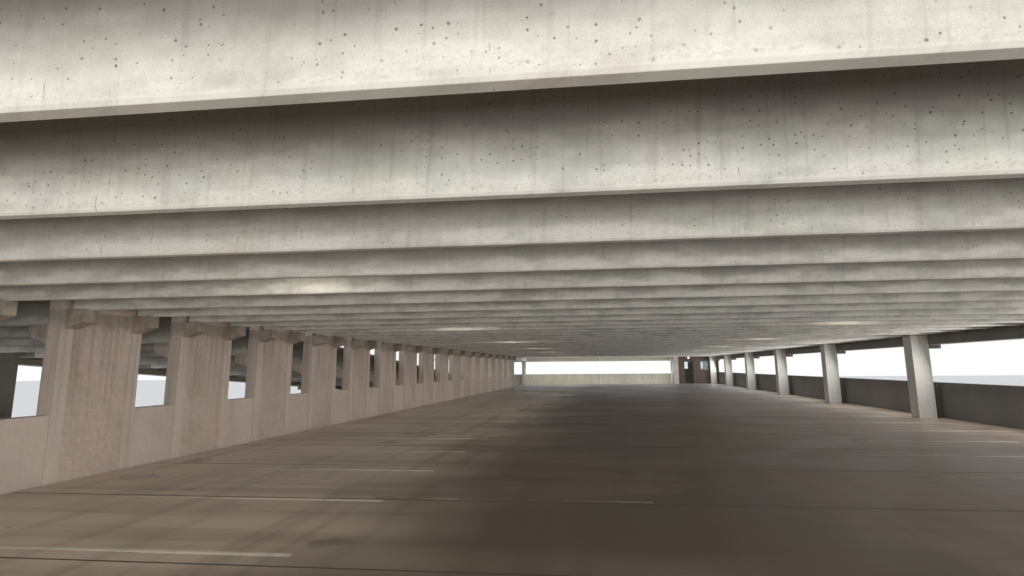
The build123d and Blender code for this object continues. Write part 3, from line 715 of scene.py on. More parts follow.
solids = [soften(name, *finish) for names, *finish in SOFT for name in names]
print("softened", len(solids), "nodes,", sum(solids), "solids")

# %% [markdown]
# The small metal and plastic parts get a quiet surface: their colour drifts by a soft cloud and
# their gloss by a fine one. Glass bends light, but a flat pane in a small frame mostly reflects,
# so a clear, slightly green transmission with a very low roughness is enough.

# %% Small parts
def make_plain(name, colour, roughness, relief=0.0004, **constants):
    """A nearly even finish, from the colour down to 0.78 of it, and a little either side of the
    roughness."""
    made, tree, place = open_material(name)
    flat = unfold(tree, place, LEAN)
    cloud = soft_step(tree, noise(tree, flat, 9, 3), 0.3, 0.7)
    fine = noise(tree, flat, 160, 2)
    dark = tuple(0.78 * v for v in colour)
    close_material(tree, mix(tree, cloud, dark, colour),
                   scaled(tree, fine, 0.12, roughness - 0.06), fine, relief, **constants)
    return made


def wear(node, material):
    """Puts a material into every slot of a frame node."""
    slots = nodes[node].material_slots
    for slot in slots:
        slot.material = material
    if not slots:
        nodes[node].data.materials.append(material)


FRAME_METAL = make_plain("frame_metal", (0.5, 0.5, 0.49), 0.35, Metallic=1.0)
LAMP_METAL = make_plain("lamp_metal", (0.74, 0.74, 0.7), 0.4)
PIPE_PAINT = make_plain("pipe_paint", (0.84, 0.84, 0.8), 0.35)
RUBBER = make_plain("bearing_rubber", (0.045, 0.043, 0.04), 0.75)
SEALANT = make_plain("joint_sealant", (0.12, 0.102, 0.084), 0.75, 0.001)
PANEL_SEALANT = make_plain("panel_sealant", (0.36, 0.33, 0.28), 0.6, 0.001)

GLASS, tree, place = open_material("window_glass")
smear = noise(tree, unfold(tree, place, LEAN), 12, 2)
close_material(tree, (0.8, 0.88, 0.85), scaled(tree, smear, 0.06, 0.02),
               **{"Transmission Weight": 1.0, "IOR": 1.45})
wear("stair_tower_window_glass", GLASS)
soften("stair_tower_window_frames", FRAME_METAL, "frame_metal", 0.002)
soften("luminaires", LAMP_METAL, "lamp_metal", 0.003)
print("small parts dressed")

# %% [markdown]
# New pieces are worked out as arrays of points and faces. Many of them are one outline carried
# along many straight runs: a strip of sealant, a painted line, a pad or a sill. The outline is
# given as an upper and a lower chain with as many points, so that its ends close with quads.

# %% Mesh helpers
def build_piece(name, points, faces, material, slot=None, *replaced, recalculate=True, **numbers):
    """A piece from arrays of points and of faces with equal corner counts."""
    points, faces = np.asarray(points, float).reshape(-1, 3), np.asarray(faces, np.int32)
    mesh = bpy.data.meshes.new(name)
    mesh.vertices.add(len(points))
    mesh.vertices.foreach_set("co", points.ravel())
    mesh.loops.add(faces.size)
    mesh.loops.foreach_set("vertex_index", faces.ravel())
    mesh.polygons.add(len(faces))
    starts = np.arange(len(faces), dtype=np.int32) * faces.shape[1]
    mesh.polygons.foreach_set("loop_start", starts)
    mesh.update(calc_edges=True)
    mesh.validate()
    if recalculate:
        shape = bmesh.new()
        shape.from_mesh(mesh)
        bmesh.ops.recalc_face_normals(shape, faces=shape.faces)
        shape.to_mesh(mesh)
        shape.free()
    for key, values in numbers.items():
        point_number(mesh, key, values)
    mesh.materials.append(material)
    print(name, len(faces), "faces")
    return keep(put(name, mesh), slot, *replaced)


def number_on(faces, step, count):
    """Quads repeated so many times, each time with point numbers that are higher by the step."""
    return (faces + step * np.arange(count)[:, None, None]).reshape(-1, 4)


def close_rings(ring, count):
    """The quads of a solid made of rings of points: from each ring to the next, and across the
    first and the last ring."""
    first, step = np.arange(ring), np.arange(ring // 2 - 1)
    second = (first + 1) % ring
    sides = np.stack([first, second, second + ring, first + ring], axis=1)
    cap = np.stack([step, step + 1, ring - 2 - step, ring - 1 - step], axis=1)
    return np.vstack([number_on(sides, ring, count - 1), cap, cap[:, ::-1] + ring * (count - 1)])


def carry(upper, lower, starts, ends, across, up=(0, 0, 1)):
    """Carries one outline along many runs. Corner (p, q) of the outline lies at the run's end
    point + p * across + q * up. Returns points and faces."""
    outline = np.vstack([upper, np.asarray(lower)[::-1]])
    across = np.broadcast_to(np.asarray(across, float), np.shape(starts))
    shift = outline[None, :, :1] * across[:, None, :] + outline[None, :, 1:] * np.asarray(up, float)
    ends = np.array([starts, ends], float)[:, :, None, :] + shift
    points, ring = ends.swapaxes(0, 1), len(outline)
    return points.reshape(-1, 3), number_on(close_rings(ring, 2), 2 * ring, len(starts))


def join(parts):
    """Joins lists of points and faces into one."""
    sizes = np.cumsum([0] + [len(points) for points, faces in parts])
    return (np.vstack([points for points, faces in parts]),
            np.vstack([faces + start for (points, faces), start in zip(parts, sizes)]))


def slab(width, height, bottom=0.0, ease=0.15):
    """An outline of a flat strip with eased upper edges: upper and lower chain."""
    half, edge = width / 2, ease * height
    upper = [(-half, bottom + height - edge), (-half + edge, bottom + height),
             (half - edge, bottom + height), (half, bottom + height - edge)]
    lower = [(-half, bottom), (-half + edge, bottom), (half - edge, bottom), (half, bottom)]
    return upper, lower


def rows_of(*columns):
    """Columns side by side, as rows. A single number fills its whole column."""
    return np.column_stack(np.broadcast_arrays(*columns))


def lay_across(name, outline, rows, material):
    """A piece that is one outline carried along level runs, given as rows of x0, x1, y, z."""
    points, faces = carry(*outline, rows[:, [0, 2, 3]], rows[:, [1, 2, 3]], (0, 1, 0))
    build_piece(name, points, faces, material)


# %% [markdown]
# The open joint between two tees is filled from above with a soft dark sealant. It sags to a
# shallow hollow and laps a few millimetres over both edges. From below it closes the line of
# daylight between the flanges.

# %% Deck sealant
def deck_runs():
    """Every joint: between two tees in the long bay on both floors, in the level ends, and down
    the ramps."""
    joints = np.arange(1, TEES)
    at_column = joints % TEES_PER_BAY == 0
    east_end = np.where(at_column, LEDGE_X - COLUMN_SIZE - NOTCH_GAP, bay_high.x)
    y = NEAR_Y + joints * TEE_PITCH
    runs = [rows_of(bay_low.x, east_end, y, level * STOREY) for level in LEVELS]
    west_end = west_high.x + COLUMN_SIZE + NOTCH_GAP
    on_ramp = (y > RAMP_START_Y - SLACK) & (y < RAMP_END_Y - SLACK)
    fall = SLOPE * np.clip(y - RAMP_START_Y, 0, None)
    for level in LEVELS:
        z = np.where(on_ramp, level * STOREY - fall, level * STOREY)
        shown = (z > FILL_TOP) & (np.abs(y - RAMP_END_Y) > SLACK)
        runs.append(rows_of(west_end, ramp_high.x, y, z)[shown])
    return np.vstack(runs)


across = np.array([-0.0085, -0.0045, 0, 0.0045, 0.0085])
sagged = (np.column_stack([across, [0.0005, 0.0004, -0.0006, 0.0004, 0.0005]]),
          np.column_stack([across * 0.55, np.full(5, -0.016)]))
lay_across("deck_sealant", sagged, deck_runs(), SEALANT)

# %% [markdown]
# Stalls are marked with a strip of paint that use has worn thin. The paint is a real strip,
# less than a millimetre high, and its material mixes in the same deck concrete where it has
# worn through, so no transparency is needed. Two faint pale dashes, in a paint that covers
# little, lie across the aisle near the camera.

# %% Stall lines
LINE_PITCH, LINE_WIDTH, PAINT_HEIGHT = 1.300, 0.055, 0.0009
FIRST_LINE_Y = RAMP_START_Y + 0.18
PALE_DASH_Y = RAMP_START_Y + TEE_PITCH + 0.06
PALE_DASHES = ((-0.06, 0.21), (0.79, 1.44))      # start and end across the building


def make_paint(name, cover):
    """Paint over the deck's own concrete. Cover is how much of it the best patches still hide."""
    made, tree, place = open_material(name)
    top = driven(tree, place)
    patch = noise(tree, place, 5, 4, 0.75)
    fine = noise(tree, place, 70, 2, 0.7)
    worn = soft_step(tree, scaled(tree, fine, 0.35, patch), 0.78, 0.62)
    tone = mix(tree, soft_step(tree, patch, 0.3, 0.7), (0.5, 0.455, 0.39), (0.64, 0.6, 0.52))
    left = scaled(tree, worn, 0.83 * cover, 0.17 * cover)
    close_material(tree, mix(tree, left, top["Color"], tone), top["Roughness"], fine, 0.0006)
    return made


PAINT, PALE_DASH_PAINT = make_paint("stall_paint", 0.72), make_paint("pale_dash_paint", 0.2)


def line_rows():
    """The rows of lines: along the piers between the two level ends, and all along the east."""
    west = np.arange(FIRST_LINE_Y, RAMP_END_Y, LINE_PITCH)
    east = np.arange(FIRST_LINE_Y - 3 * LINE_PITCH, bay_high.y - 0.3, LINE_PITCH)
    sides = ((CORBEL_X + 0.04 - CORBEL_REACH, CORBEL_X - CORBEL_REACH + STALL, west),
             (LEDGE_X - STALL, LEDGE_X - 0.02, east))
    return np.vstack([rows_of(*side, level * STOREY) for level in LEVELS for side in sides])


lay_across("stall_lines", slab(LINE_WIDTH, PAINT_HEIGHT), line_rows(), PAINT)
# Two faint pale dashes across the aisle.
dashes = np.array([(*dash, PALE_DASH_Y, STOREY) for dash in PALE_DASHES])
lay_across("pale_dashes", slab(0.7 * LINE_WIDTH, PAINT_HEIGHT), dashes, PALE_DASH_PAINT)

# %% [markdown]
# Each stem stands on a rubber pad at both its ends, a little wider than the stem, which lets it
# creep without breaking the ledge.

# %% Bearing pads
PAD_WIDTH, PAD_HEIGHT = 0.082, 0.005
EAST_PAD, PIER_PAD = (0.002, 0.1), (-0.012, 0.115)      # from the ledge's edge and the tee's end


def pad_rows():
    """The pads under both ends of every stem of the long bay."""
    stems = NEAR_Y + TEE_PITCH / 4 + np.arange(2 * TEES) * STEM_PITCH
    by_pier = stems[(stems > RAMP_START_Y) & (stems < RAMP_END_Y)]
    return np.vstack([rows_of(edge + start, edge + end, y, level * STOREY - TEE_DEPTH)
                      for level in LEVELS
                      for edge, (start, end), y in ((LEDGE_X, EAST_PAD, stems),
                                                    (bay_low.x, PIER_PAD, by_pier))])


lay_across("bearing_pads", slab(PAD_WIDTH, PAD_HEIGHT), pad_rows(), RUBBER)

# %% [markdown]
# The upright joints between outer panels are closed with a paler sealant, set back from the
# face. On the ramp side its ends follow the ramp.

# %% Panel sealant
SET_BACK = 0.014
lines_y = NEAR_Y + BAY * np.arange(1, TEES // TEES_PER_BAY)
upper_ramp = lines_y[lines_y < RAMP_END_Y - SLACK]
runs = [rows_of(ledge_high.x - SET_BACK, lines_y, level * STOREY - (TEE_DEPTH + LEDGE_DEPTH),
                level * STOREY + PARAPET) for level in LEVELS]
for level, y in ((2, upper_ramp), (1, upper_ramp[:3])):
    z = level * STOREY - SLOPE * np.clip(y - RAMP_START_Y, 0, RAMP_END_Y - RAMP_START_Y)
    runs.append(rows_of(west_low.x + SET_BACK, y, z - TEE_DEPTH - 0.06, z + PARAPET - 0.006))
runs = np.vstack(runs)
joint = np.array([-TEE_JOINT / 2, 0, TEE_JOINT / 2])
upper, lower = np.column_stack([joint, (0.004, 0.002, 0.004)]), rows_of(joint, -0.004)
parts = []
for side in (1, -1):
    mine = runs[np.sign(runs[:, 0]) == side]
    parts.append(carry(upper, lower, mine[:, [0, 1, 2]], mine[:, [0, 1, 3]], (0, 1, 0),
                       up=(side, 0, 0)))
build_piece("panel_sealant", *join(parts), PANEL_SEALANT)

# %% [markdown]
# Under each lamp housing a ribbed plastic lens bulges down and glows. Its height falls from the
# middle to the edges as (1 - u^4)(1 - v^4), a soft square dome, and fine ribs are added to it.

# %% Lamp lenses
LENS_GLOW, tree, place = open_material("lamp_lens")
flat = unfold(tree, place, LEAN)
shader = close_material(tree, (0.85, 0.84, 0.8), scaled(tree, noise(tree, flat, 60, 1), 0.1, 0.25))
glow = mix(tree, noise(tree, flat, 25, 1), (1.0, 0.93, 0.8), (1.0, 0.97, 0.9))
fill(tree, shader.inputs["Emission Color"], glow)
shader.inputs["Emission Strength"].default_value = 2.2

lamp_low, lamp_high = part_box("luminaires")
LAMP_HALF = 0.100
LAMP_DROP = 0.192           # rod and housing, from the flange to the lens
LENS_HALF, LENS_BULGE = 0.088, 0.016
LAMP_ROWS = (lamp_low.x + LAMP_HALF, lamp_high.x - LAMP_HALF)


def lamp_places():
    """The middle of each lens: two rows under both decks, under the first of every three tees."""
    y = NEAR_Y + BAY * np.arange(TEES // TEES_PER_BAY) + TEE_PITCH / 2
    lens = [level * STOREY - FLANGE - LAMP_DROP for level in LEVELS]
    x, y, z = np.meshgrid(LAMP_ROWS, y, lens, indexing="ij")
    return np.column_stack([x.ravel(), y.ravel(), z.ravel()])


def grid_faces(rows, columns):
    """The quads between the points of a grid, turning from the columns to the rows."""
    grid = np.arange(rows * columns).reshape(rows, columns)
    corners = [grid[:-1, :-1], grid[:-1, 1:], grid[1:, 1:], grid[1:, :-1]]
    return np.stack(corners, axis=-1).reshape(-1, 4)


def dome(size, drop, steps):
    """A square dome that hangs down, as a grid of points and its quads."""
    line = np.linspace(-1, 1, steps + 1)
    u, v = np.meshgrid(line, line, indexing="ij")
    z = -drop * (1 - u ** 4) * (1 - v ** 4) - 0.0015 * (1 - np.abs(u)) * np.cos(6 * np.pi * v)
    points = np.column_stack([u.ravel() * size, v.ravel() * size, z.ravel()])
    return points, grid_faces(steps + 1, steps + 1)


def put_at(places, points, faces):
    """One shape at many places, as points and faces."""
    return places[:, None, :] + points, number_on(faces, len(points), len(places))


build_piece("lamp_lenses", *put_at(lamp_places(), *dome(LENS_HALF, LENS_BULGE, 12)), LENS_GLOW,
            recalculate=False)

# %% [markdown]
# The tower is brick in running bond: each course is shifted by half a brick. A wall of real
# bricks is only a list of rectangles, worked out at once for the whole wall and cut back where a
# doorway, a window or a concrete panel is in the way. Over each opening a row of bricks stands
# on end. The bricks stand three millimetres proud of the frame's wall, which is the mortar.

# %% Tower sizes
near_low, near_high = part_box("stair_tower_near_wall")
far_low, far_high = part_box("stair_tower_far_wall")
west_high_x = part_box("stair_tower_west_wall")[1].x
east_low_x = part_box("stair_tower_east_wall")[0].x
end_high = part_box("far_end_walls")[1]
DOOR_START, DOOR_WIDTH, DOOR_HEIGHT = 0.300, 0.450, 1.070   # start along the near wall
WINDOW = (1.070, 0.470, 0.680, 0.400)       # start, width, sill above the floor, height
END_DROP, END_PARAPET = 0.190, 0.490        # end wall below the stems and above the floor
BRICK_LENGTH, BRICK_HEIGHT, BED = 0.1016, 0.0339, 0.005
SCRAP = 0.014               # the shortest piece of a cut brick
PROUD = 0.003
FLOORS = (0.0, STOREY, 2 * STOREY)
UP = np.array([0, 0, 1.0])
TOWER_X, TOWER_Y = near_high.x - near_low.x, far_high.y - near_low.y
WALLS = {                                   # corner, direction along, direction out; length
    "near": (((near_low.x, near_low.y, 0), (1, 0, 0), (0, -1, 0)), TOWER_X),
    "far": (((near_high.x, far_high.y, 0), (-1, 0, 0), (0, 1, 0)), TOWER_X),
    "east": (((near_high.x, near_low.y, 0), (0, 1, 0), (1, 0, 0)), TOWER_Y),
    "west": (((near_low.x, far_high.y, 0), (0, -1, 0), (-1, 0, 0)), TOWER_Y),
}
print("tower", round(TOWER_X, 3), "by", round(TOWER_Y, 3), "m")

# %% [markdown]
# Where the wall has no bricks is a list of rectangles too: the doorways and windows, and what
# the decks and concrete panels hide.

# %% Openings and covers
def openings(side):
    """Rectangles u0, u1, z0, z1 of the doorways and windows in one wall."""
    length = WALLS[side][1]
    start, width, sill, height = WINDOW
    spots = {"near": [start], "far": [length - DOOR_START - width, length - start - width],
             "east": [(length - width) / 2], "west": []}[side]
    rows = [(u, u + width, z + sill, z + sill + height) for z in FLOORS for u in spots]
    if side == "near":
        rows += [(DOOR_START, DOOR_START + DOOR_WIDTH, z, z + DOOR_HEIGHT) for z in FLOORS]
    return np.array(rows).reshape(-1, 4)


def covered(side):
    """Rectangles that a deck or another panel covers on the outside. They run on past the end
    of the wall, and a few millimetres past the panel."""
    rows, beyond = [], 9
    if side == "near":
        ledge = LEDGE_X - near_low.x - 0.005
        for z in FLOORS[1:]:
            rows.append((-1, beyond, z - FLANGE - 0.002, z + 0.002))
            rows.append((ledge, beyond, z - TEE_DEPTH - (LEDGE_DEPTH + 0.005), z + PARAPET + 0.003))
        rows.append((ledge, beyond, -1, PARAPET + 0.003))
    if side == "west":
        panel = TOWER_Y - (end_high.y - near_low.y) - 0.003
        drops = [TEE_DEPTH + END_DROP + 0.002 if z else 0 for z in FLOORS]
        rows += [(panel, beyond, z - drop, z + END_PARAPET + 0.003)
                 for z, drop in zip(FLOORS, drops)]
    return np.array(rows).reshape(-1, 4)


print("openings:", {side: len(openings(side)) for side in WALLS})

# %% [markdown]
# The courses are laid right across the wall first and cut afterwards, as whole arrays. A brick
# that meets the side of a gap is cut back to it, and short scraps are dropped.

# %% Courses of bricks
def cut(bricks, gaps):
    """Cuts every brick back to the sides of the gaps that it meets, and drops what lies inside
    them and scraps that are left."""
    for u0, u1, z0, z1 in gaps:
        meets = ((bricks[:, 3] > z0 + 0.004) & (bricks[:, 2] < z1 - 0.004)
                 & (bricks[:, 1] > u0) & (bricks[:, 0] < u1))
        left = meets & (bricks[:, 0] < u0)
        rest = meets & ~left & (bricks[:, 1] > u1)
        bricks[left, 1] = u0
        bricks[rest, 0] = u1
        bricks = bricks[~(meets & ~left & ~rest)]
    return bricks[bricks[:, 1] - bricks[:, 0] > SCRAP]


def lay_bricks(side, height):
    """All the bricks of one wall as rows of u0, u1, z0, z1."""
    length, doors = WALLS[side][1], openings(side)
    courses = np.arange(int(height / BRICK_HEIGHT))
    number = np.arange(-1, int(length / BRICK_LENGTH) + 2)
    course, place = np.meshgrid(courses, number, indexing="ij")
    u = (place + 0.5 * (course % 2)) * BRICK_LENGTH
    z = course * BRICK_HEIGHT + BED / 2
    corners = [u + BED / 2, u + BRICK_LENGTH - BED / 2, z, z + BRICK_HEIGHT - BED]
    bricks = np.stack(corners, axis=-1).reshape(-1, 4)
    bricks[:, :2] = np.clip(bricks[:, :2], -PROUD, length + PROUD)
    heads = doors.copy()
    heads[:, 2] = np.floor(doors[:, 3] / BRICK_HEIGHT) * BRICK_HEIGHT
    heads[:, 3] = heads[:, 2] + 3 * BRICK_HEIGHT
    walls = [cut(cut(cut(bricks, doors), heads), covered(side))]
    for (u0, u1, z0, z1), top in zip(heads, doors[:, 3]):
        u = np.linspace(u0, u1, int((u1 - u0) / BRICK_HEIGHT) + 1)[:-1] + BED / 2
        walls.append(rows_of(u, u + BRICK_HEIGHT - BED, max(z0 + BED / 2, top), z1 - BED / 2))
    return np.vstack(walls)


BRICKS = {side: lay_bricks(side, near_high.z) for side in WALLS}
print("bricks:", {side: len(bricks) for side, bricks in BRICKS.items()})

# %% [markdown]
# The finish of a brick is a brown of its own, now and then a darker one, with sandy mottles.
# Each brick carries its random number at its points, as the panels do.

# %% Brick walls
def on_wall(side, u, z, out=0.0):
    """The point u along a wall from its corner, z up and some way out from its face, which is
    corner + u * along + z * up + out * outward."""
    corner, along, outward = np.array(WALLS[side][0], float)
    return corner + u[..., None] * along + z[..., None] * UP + np.asarray(out)[..., None] * outward


def brick_shell(side, bricks):
    """Each rectangle becomes a block without a back: its front is drawn in by a millimetre and
    stands out by a slightly random amount."""
    u, z = bricks[:, [0, 1, 1, 0]], bricks[:, [2, 2, 3, 3]]
    ease = 0.001
    depth = PROUD - rng.random(len(bricks))[:, None] * 0.0008
    front = on_wall(side, u + np.array([1, -1, -1, 1]) * ease,
                    z + np.array([1, 1, -1, -1]) * ease, depth)
    points = np.concatenate([on_wall(side, u, z), front], axis=1)
    block = np.array([(4, 5, 6, 7), (0, 1, 5, 4), (1, 2, 6, 5), (2, 3, 7, 6), (3, 0, 4, 7)])
    return points, number_on(block, 8, len(bricks))


BRICK, tree, place = open_material("brick")
own = attribute(tree, "brick_chance")
flat = unfold(tree, place, LEAN)
body = mix(tree, soft_step(tree, own, 0.2, 0.8), (0.083, 0.058, 0.047), (0.128, 0.082, 0.062))
body = mix(tree, soft_step(tree, own, 0.9, 0.97), body, (0.075, 0.055, 0.05))
mottle = noise(tree, shifted(tree, flat, own, (37, 11, 0)), 45, 3, 0.7)
body = stain(tree, body, ((0.09, 0.05, 0.042), soft_step(tree, mottle, 0.45, 0.75), 0.5))
sand = noise(tree, flat, 260, 2)
close_material(tree, body, scaled(tree, sand, 0.15, 0.72), sand, 0.0012)

for side, bricks in BRICKS.items():
    points, faces = brick_shell(side, bricks)
    build_piece(f"bricks_{side}", points, faces, BRICK, "brick", recalculate=False,
                brick_chance=np.repeat(rng.random(len(bricks)), 8))

# %% [markdown]
# Each tower wall shows its mortar between the bricks outside and painted blocks inside. A point
# is inside if it lies within the inner faces of all four walls.

# %% Mortar and blocks
def make_tower_material():
    made, tree, place = open_material("mortar_and_block")
    x, y, z = parts_of(tree, place)
    least = minus(tree, x, west_high_x - 0.001)
    for pair in ((east_low_x + 0.001, x), (y, near_high.y - 0.001), (far_low.y + 0.001, y)):
        least = calc(tree, "MINIMUM", least, minus(tree, *pair))
    inside = calc(tree, "GREATER_THAN", least, 0.0)
    sand = noise(tree, unfold(tree, place, LEAN), 210, 2)
    mortar = mix(tree, soft_step(tree, sand, 0.3, 0.7), (0.22, 0.19, 0.165), (0.36, 0.325, 0.285))
    across = add(tree, "CombineXYZ", {0: calc(tree, "ADD", x, y), 1: z}).outputs[0]
    blocks = add(tree, "TexBrick", {
        "Vector": across, "Color1": (0.62, 0.61, 0.56), "Color2": (0.56, 0.55, 0.5),
        "Mortar": (0.4, 0.39, 0.36), "Scale": 1.0, "Mortar Size": 0.004, "Brick Width": 0.2,
        "Row Height": 0.1})
    close_material(tree, mix(tree, inside, mortar, blocks.outputs["Color"]), 0.82, sand, 0.0015)
    return made


TOWER = make_tower_material()
for side in WALLS:
    wear(f"stair_tower_{side}_wall", TOWER)
print("tower inside from", round(west_high_x, 3), "to", round(east_low_x, 3))

# %% [markdown]
# The rain from the far decks leaves by a white plastic pipe beside the tower. The frame has it
# with twelve flat sides, so a round one stands for it. Its middle line is three straight
# stretches whose corners are rounded by averaging each point with its neighbours, and a circle
# is carried along it. Sleeves cover its joints.

# %% Drain pipe
pipe_low, pipe_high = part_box("drain_pipes")
PIPE_RADIUS = (pipe_high.y - pipe_low.y) / 2
PIPE_X, PIPE_Y = pipe_high.x - PIPE_RADIUS, (pipe_low.y + pipe_high.y) / 2
PIPE_SHIFT = (pipe_high.x - pipe_low.x) - 2 * PIPE_RADIUS
PIPE_NECK = 0.120           # straight length under the deck
SLIMMER = 0.002             # from the frame's radius to the round pipe's
ROUND = 32


def rounded_line(corners, spacing, reach):
    """Points along straight stretches, each averaged over a window of its neighbours, with the
    two ends held where they are."""
    lengths = np.linalg.norm(np.diff(corners, axis=0), axis=1)
    lengths = np.concatenate([[0], np.cumsum(lengths)])
    along = np.linspace(0, lengths[-1], int(lengths[-1] / spacing))
    dense = np.column_stack([np.interp(along, lengths, column) for column in corners.T])
    padded = np.pad(dense, ((reach // 2, reach // 2), (0, 0)), "edge")
    window = np.ones(reach) / reach
    smooth = np.column_stack([np.convolve(column, window, "valid") for column in padded.T])
    smooth[0], smooth[-1] = dense[0], dense[-1]
    return smooth


def tube(line, radii):
    """A circle carried along a line that stays in a plane of constant Y. With n = (0, 1, 0) and
    m = tangent x n, a point is middle + radius * (cos a * n + sin a * m)."""
    tangent = np.gradient(line, axis=0)
    tangent /= np.linalg.norm(tangent, axis=1)[:, None]
    side = np.broadcast_to(np.array([0, 1.0, 0]), tangent.shape)
    other = np.cross(tangent, side)
    angle = np.linspace(0, 2 * np.pi, ROUND, endpoint=False)
    turned = (np.cos(angle)[None, :, None] * side[:, None]
              + np.sin(angle)[None, :, None] * other[:, None])
    rings = line[:, None] + radii[:, None, None] * turned
    return rings.reshape(-1, 3), close_rings(ROUND, len(line))


def sleeve(x, z):
    """A short collar round the pipe, eased at both ends."""
    line = np.array([(x, PIPE_Y, z + lift) for lift in (-0.03, -0.028, 0.028, 0.03)])
    return tube(line, PIPE_RADIUS + np.array([-SLIMMER, 0.003, 0.003, -SLIMMER]))


pipes, sleeves = [], []
for floor in FLOORS[:2]:
    ceiling = floor + STOREY - FLANGE
    neck, top_x = ceiling - PIPE_NECK, PIPE_X - PIPE_SHIFT
    corners = np.array([(PIPE_X, PIPE_Y, floor), (PIPE_X, PIPE_Y, neck - PIPE_SHIFT),
                        (top_x, PIPE_Y, neck), (top_x, PIPE_Y, ceiling)])
    line = rounded_line(corners, 0.008, 9)
    pipes.append(tube(line, np.full(len(line), PIPE_RADIUS - SLIMMER)))
    sleeves += [sleeve(PIPE_X, floor + 0.05), sleeve(PIPE_X, floor + 0.7),
                sleeve(PIPE_X, neck - PIPE_SHIFT - 0.07), sleeve(top_x, neck + 0.05)]
build_piece("drain_pipe_round", *join(pipes), PIPE_PAINT, "pipe_metal", "drain_pipes")
build_piece("drain_pipe_sleeves", *join(sleeves), PIPE_PAINT, "pipe_metal")

# %% [markdown]
# The doorways have a pressed steel frame with a rebate for the door: an outline of two steps,
# carried up both sides and across the head.

# %% Door frames
HALF_BAR, BAR_SET_BACK = 0.011, 0.045
DOOR_X = near_low.x + DOOR_START
DOOR_PAINT = make_plain("door_paint", (0.16, 0.15, 0.14), 0.45)


def frame_runs():
    """Start and end of the two uprights and of the head of every doorway."""
    x0, x1, y = DOOR_X, DOOR_X + DOOR_WIDTH, near_low.y + BAR_SET_BACK
    sides, heads = [], []
    for z in FLOORS:
        top = z + DOOR_HEIGHT
        sides += [((x, y, z), (x, y, top)) for x in (x0 + HALF_BAR, x1 - HALF_BAR)]
        heads += [((x0, y, top - HALF_BAR), (x1, y, top - HALF_BAR))]
    return np.array(sides), np.array(heads)


upper = [(-HALF_BAR, 0.030), (0.004, 0.030), (0.004, 0.020), (HALF_BAR, 0.020)]
lower = [(p, -q) for p, q in upper]
parts = [carry(upper, lower, runs[:, 0], runs[:, 1], across, up=(0, 1, 0))
         for runs, across in zip(frame_runs(), ((1, 0, 0), (0, 0, -1)))]
build_piece("door_frames", *join(parts), DOOR_PAINT, "frame_metal")

# %% [markdown]
# Windows rest on a concrete sill with a sloped top, so that the rain runs off. It is a little
# longer than its window, and stands out from the bricks.

# %% Window sills
SILL_OVERHANG = 0.012
upper = [(-0.001, 0.0), (0.016, -0.004), (0.018, -0.008)]
lower = [(-0.001, -0.036), (0.012, -0.036), (0.018, -0.034)]
sills = []
for side, ((corner, along, outward), length) in WALLS.items():
    rows = openings(side)
    rows = rows[rows[:, 2] % STOREY > SLACK]
    if len(rows):
        starts, ends = (on_wall(side, u, rows[:, 2]) for u in (rows[:, 0] - SILL_OVERHANG,
                                                               rows[:, 1] + SILL_OVERHANG))
        sills.append(carry(upper, lower, starts, ends, outward))
points, faces = join(sills)
build_piece("window_sills", points, faces, CAP, "roof_concrete", below_top=np.zeros(len(points)),
            panel_chance=np.full(len(points), 0.4))

# %% [markdown]
# A small lamp hangs over each doorway: half a ball of glowing plastic on a flat plate.

# %% Door lamps
GLOBE_RADIUS, ABOVE_DOOR = 0.038, 0.17
PLATE_WIDTH, PLATE_HEIGHT, PLATE_OUT = 0.1, 0.018, 0.012


def half_dome(radius, steps):
    """A half ball against a wall. Its pole points away from the wall, towards -Y."""
    turn, lift = np.meshgrid(np.linspace(0, 2 * np.pi, 2 * steps + 1),
                             np.linspace(0, np.pi / 2, steps + 1), indexing="ij")
    points = np.stack([radius * np.cos(lift) * np.cos(turn), -1.1 * radius * np.sin(lift),
                       radius * np.cos(lift) * np.sin(turn)], axis=-1)
    return points.reshape(-1, 3), grid_faces(*turn.shape)[:, [0, 3, 2, 1]]


lamp_spots = np.array([(DOOR_X + DOOR_WIDTH / 2, near_low.y - PLATE_OUT,
                        z + DOOR_HEIGHT + ABOVE_DOOR) for z in FLOORS])
build_piece("door_lamp_globes", *put_at(lamp_spots, *half_dome(GLOBE_RADIUS, 8)), LENS_GLOW,
            recalculate=False)
starts = lamp_spots + np.array([-PLATE_WIDTH / 2, PLATE_OUT / 2, 0])
points, faces = carry(*slab(PLATE_WIDTH, PLATE_HEIGHT, -PLATE_HEIGHT / 2, 0.3), starts,
                      starts + np.array([PLATE_WIDTH, 0, 0]), (0, 0, 1), up=(0, -1, 0))
build_piece("door_lamp_plates", points, faces, LAMP_METAL, "lamp_metal")

# %% [markdown]
# ## Light and floor
#
# The floor is a plain pale sheet, and the sky is white to the camera. To all that it lights, the
# sky is a soft, slightly blue one.

# %% Floor and sky
FLOOR_HALF = 150.0


def make_floor():
    made, tree, place = open_material("pale_floor")
    dust = soft_step(tree, noise(tree, place, 0.8, 2), 0.3, 0.7)
    close_material(tree, mix(tree, dust, (0.78, 0.78, 0.772), (0.79, 0.79, 0.782)), 0.9)
    corners = [(x * FLOOR_HALF, y * FLOOR_HALF, -0.001)
               for x, y in ((-1, -1), (1, -1), (1, 1), (-1, 1))]
    mesh = bpy.data.meshes.new("pale_floor")
    mesh.from_pydata(corners, [], [(0, 1, 2, 3)])
    mesh.materials.append(made)
    sheet = put("pale_floor", mesh)


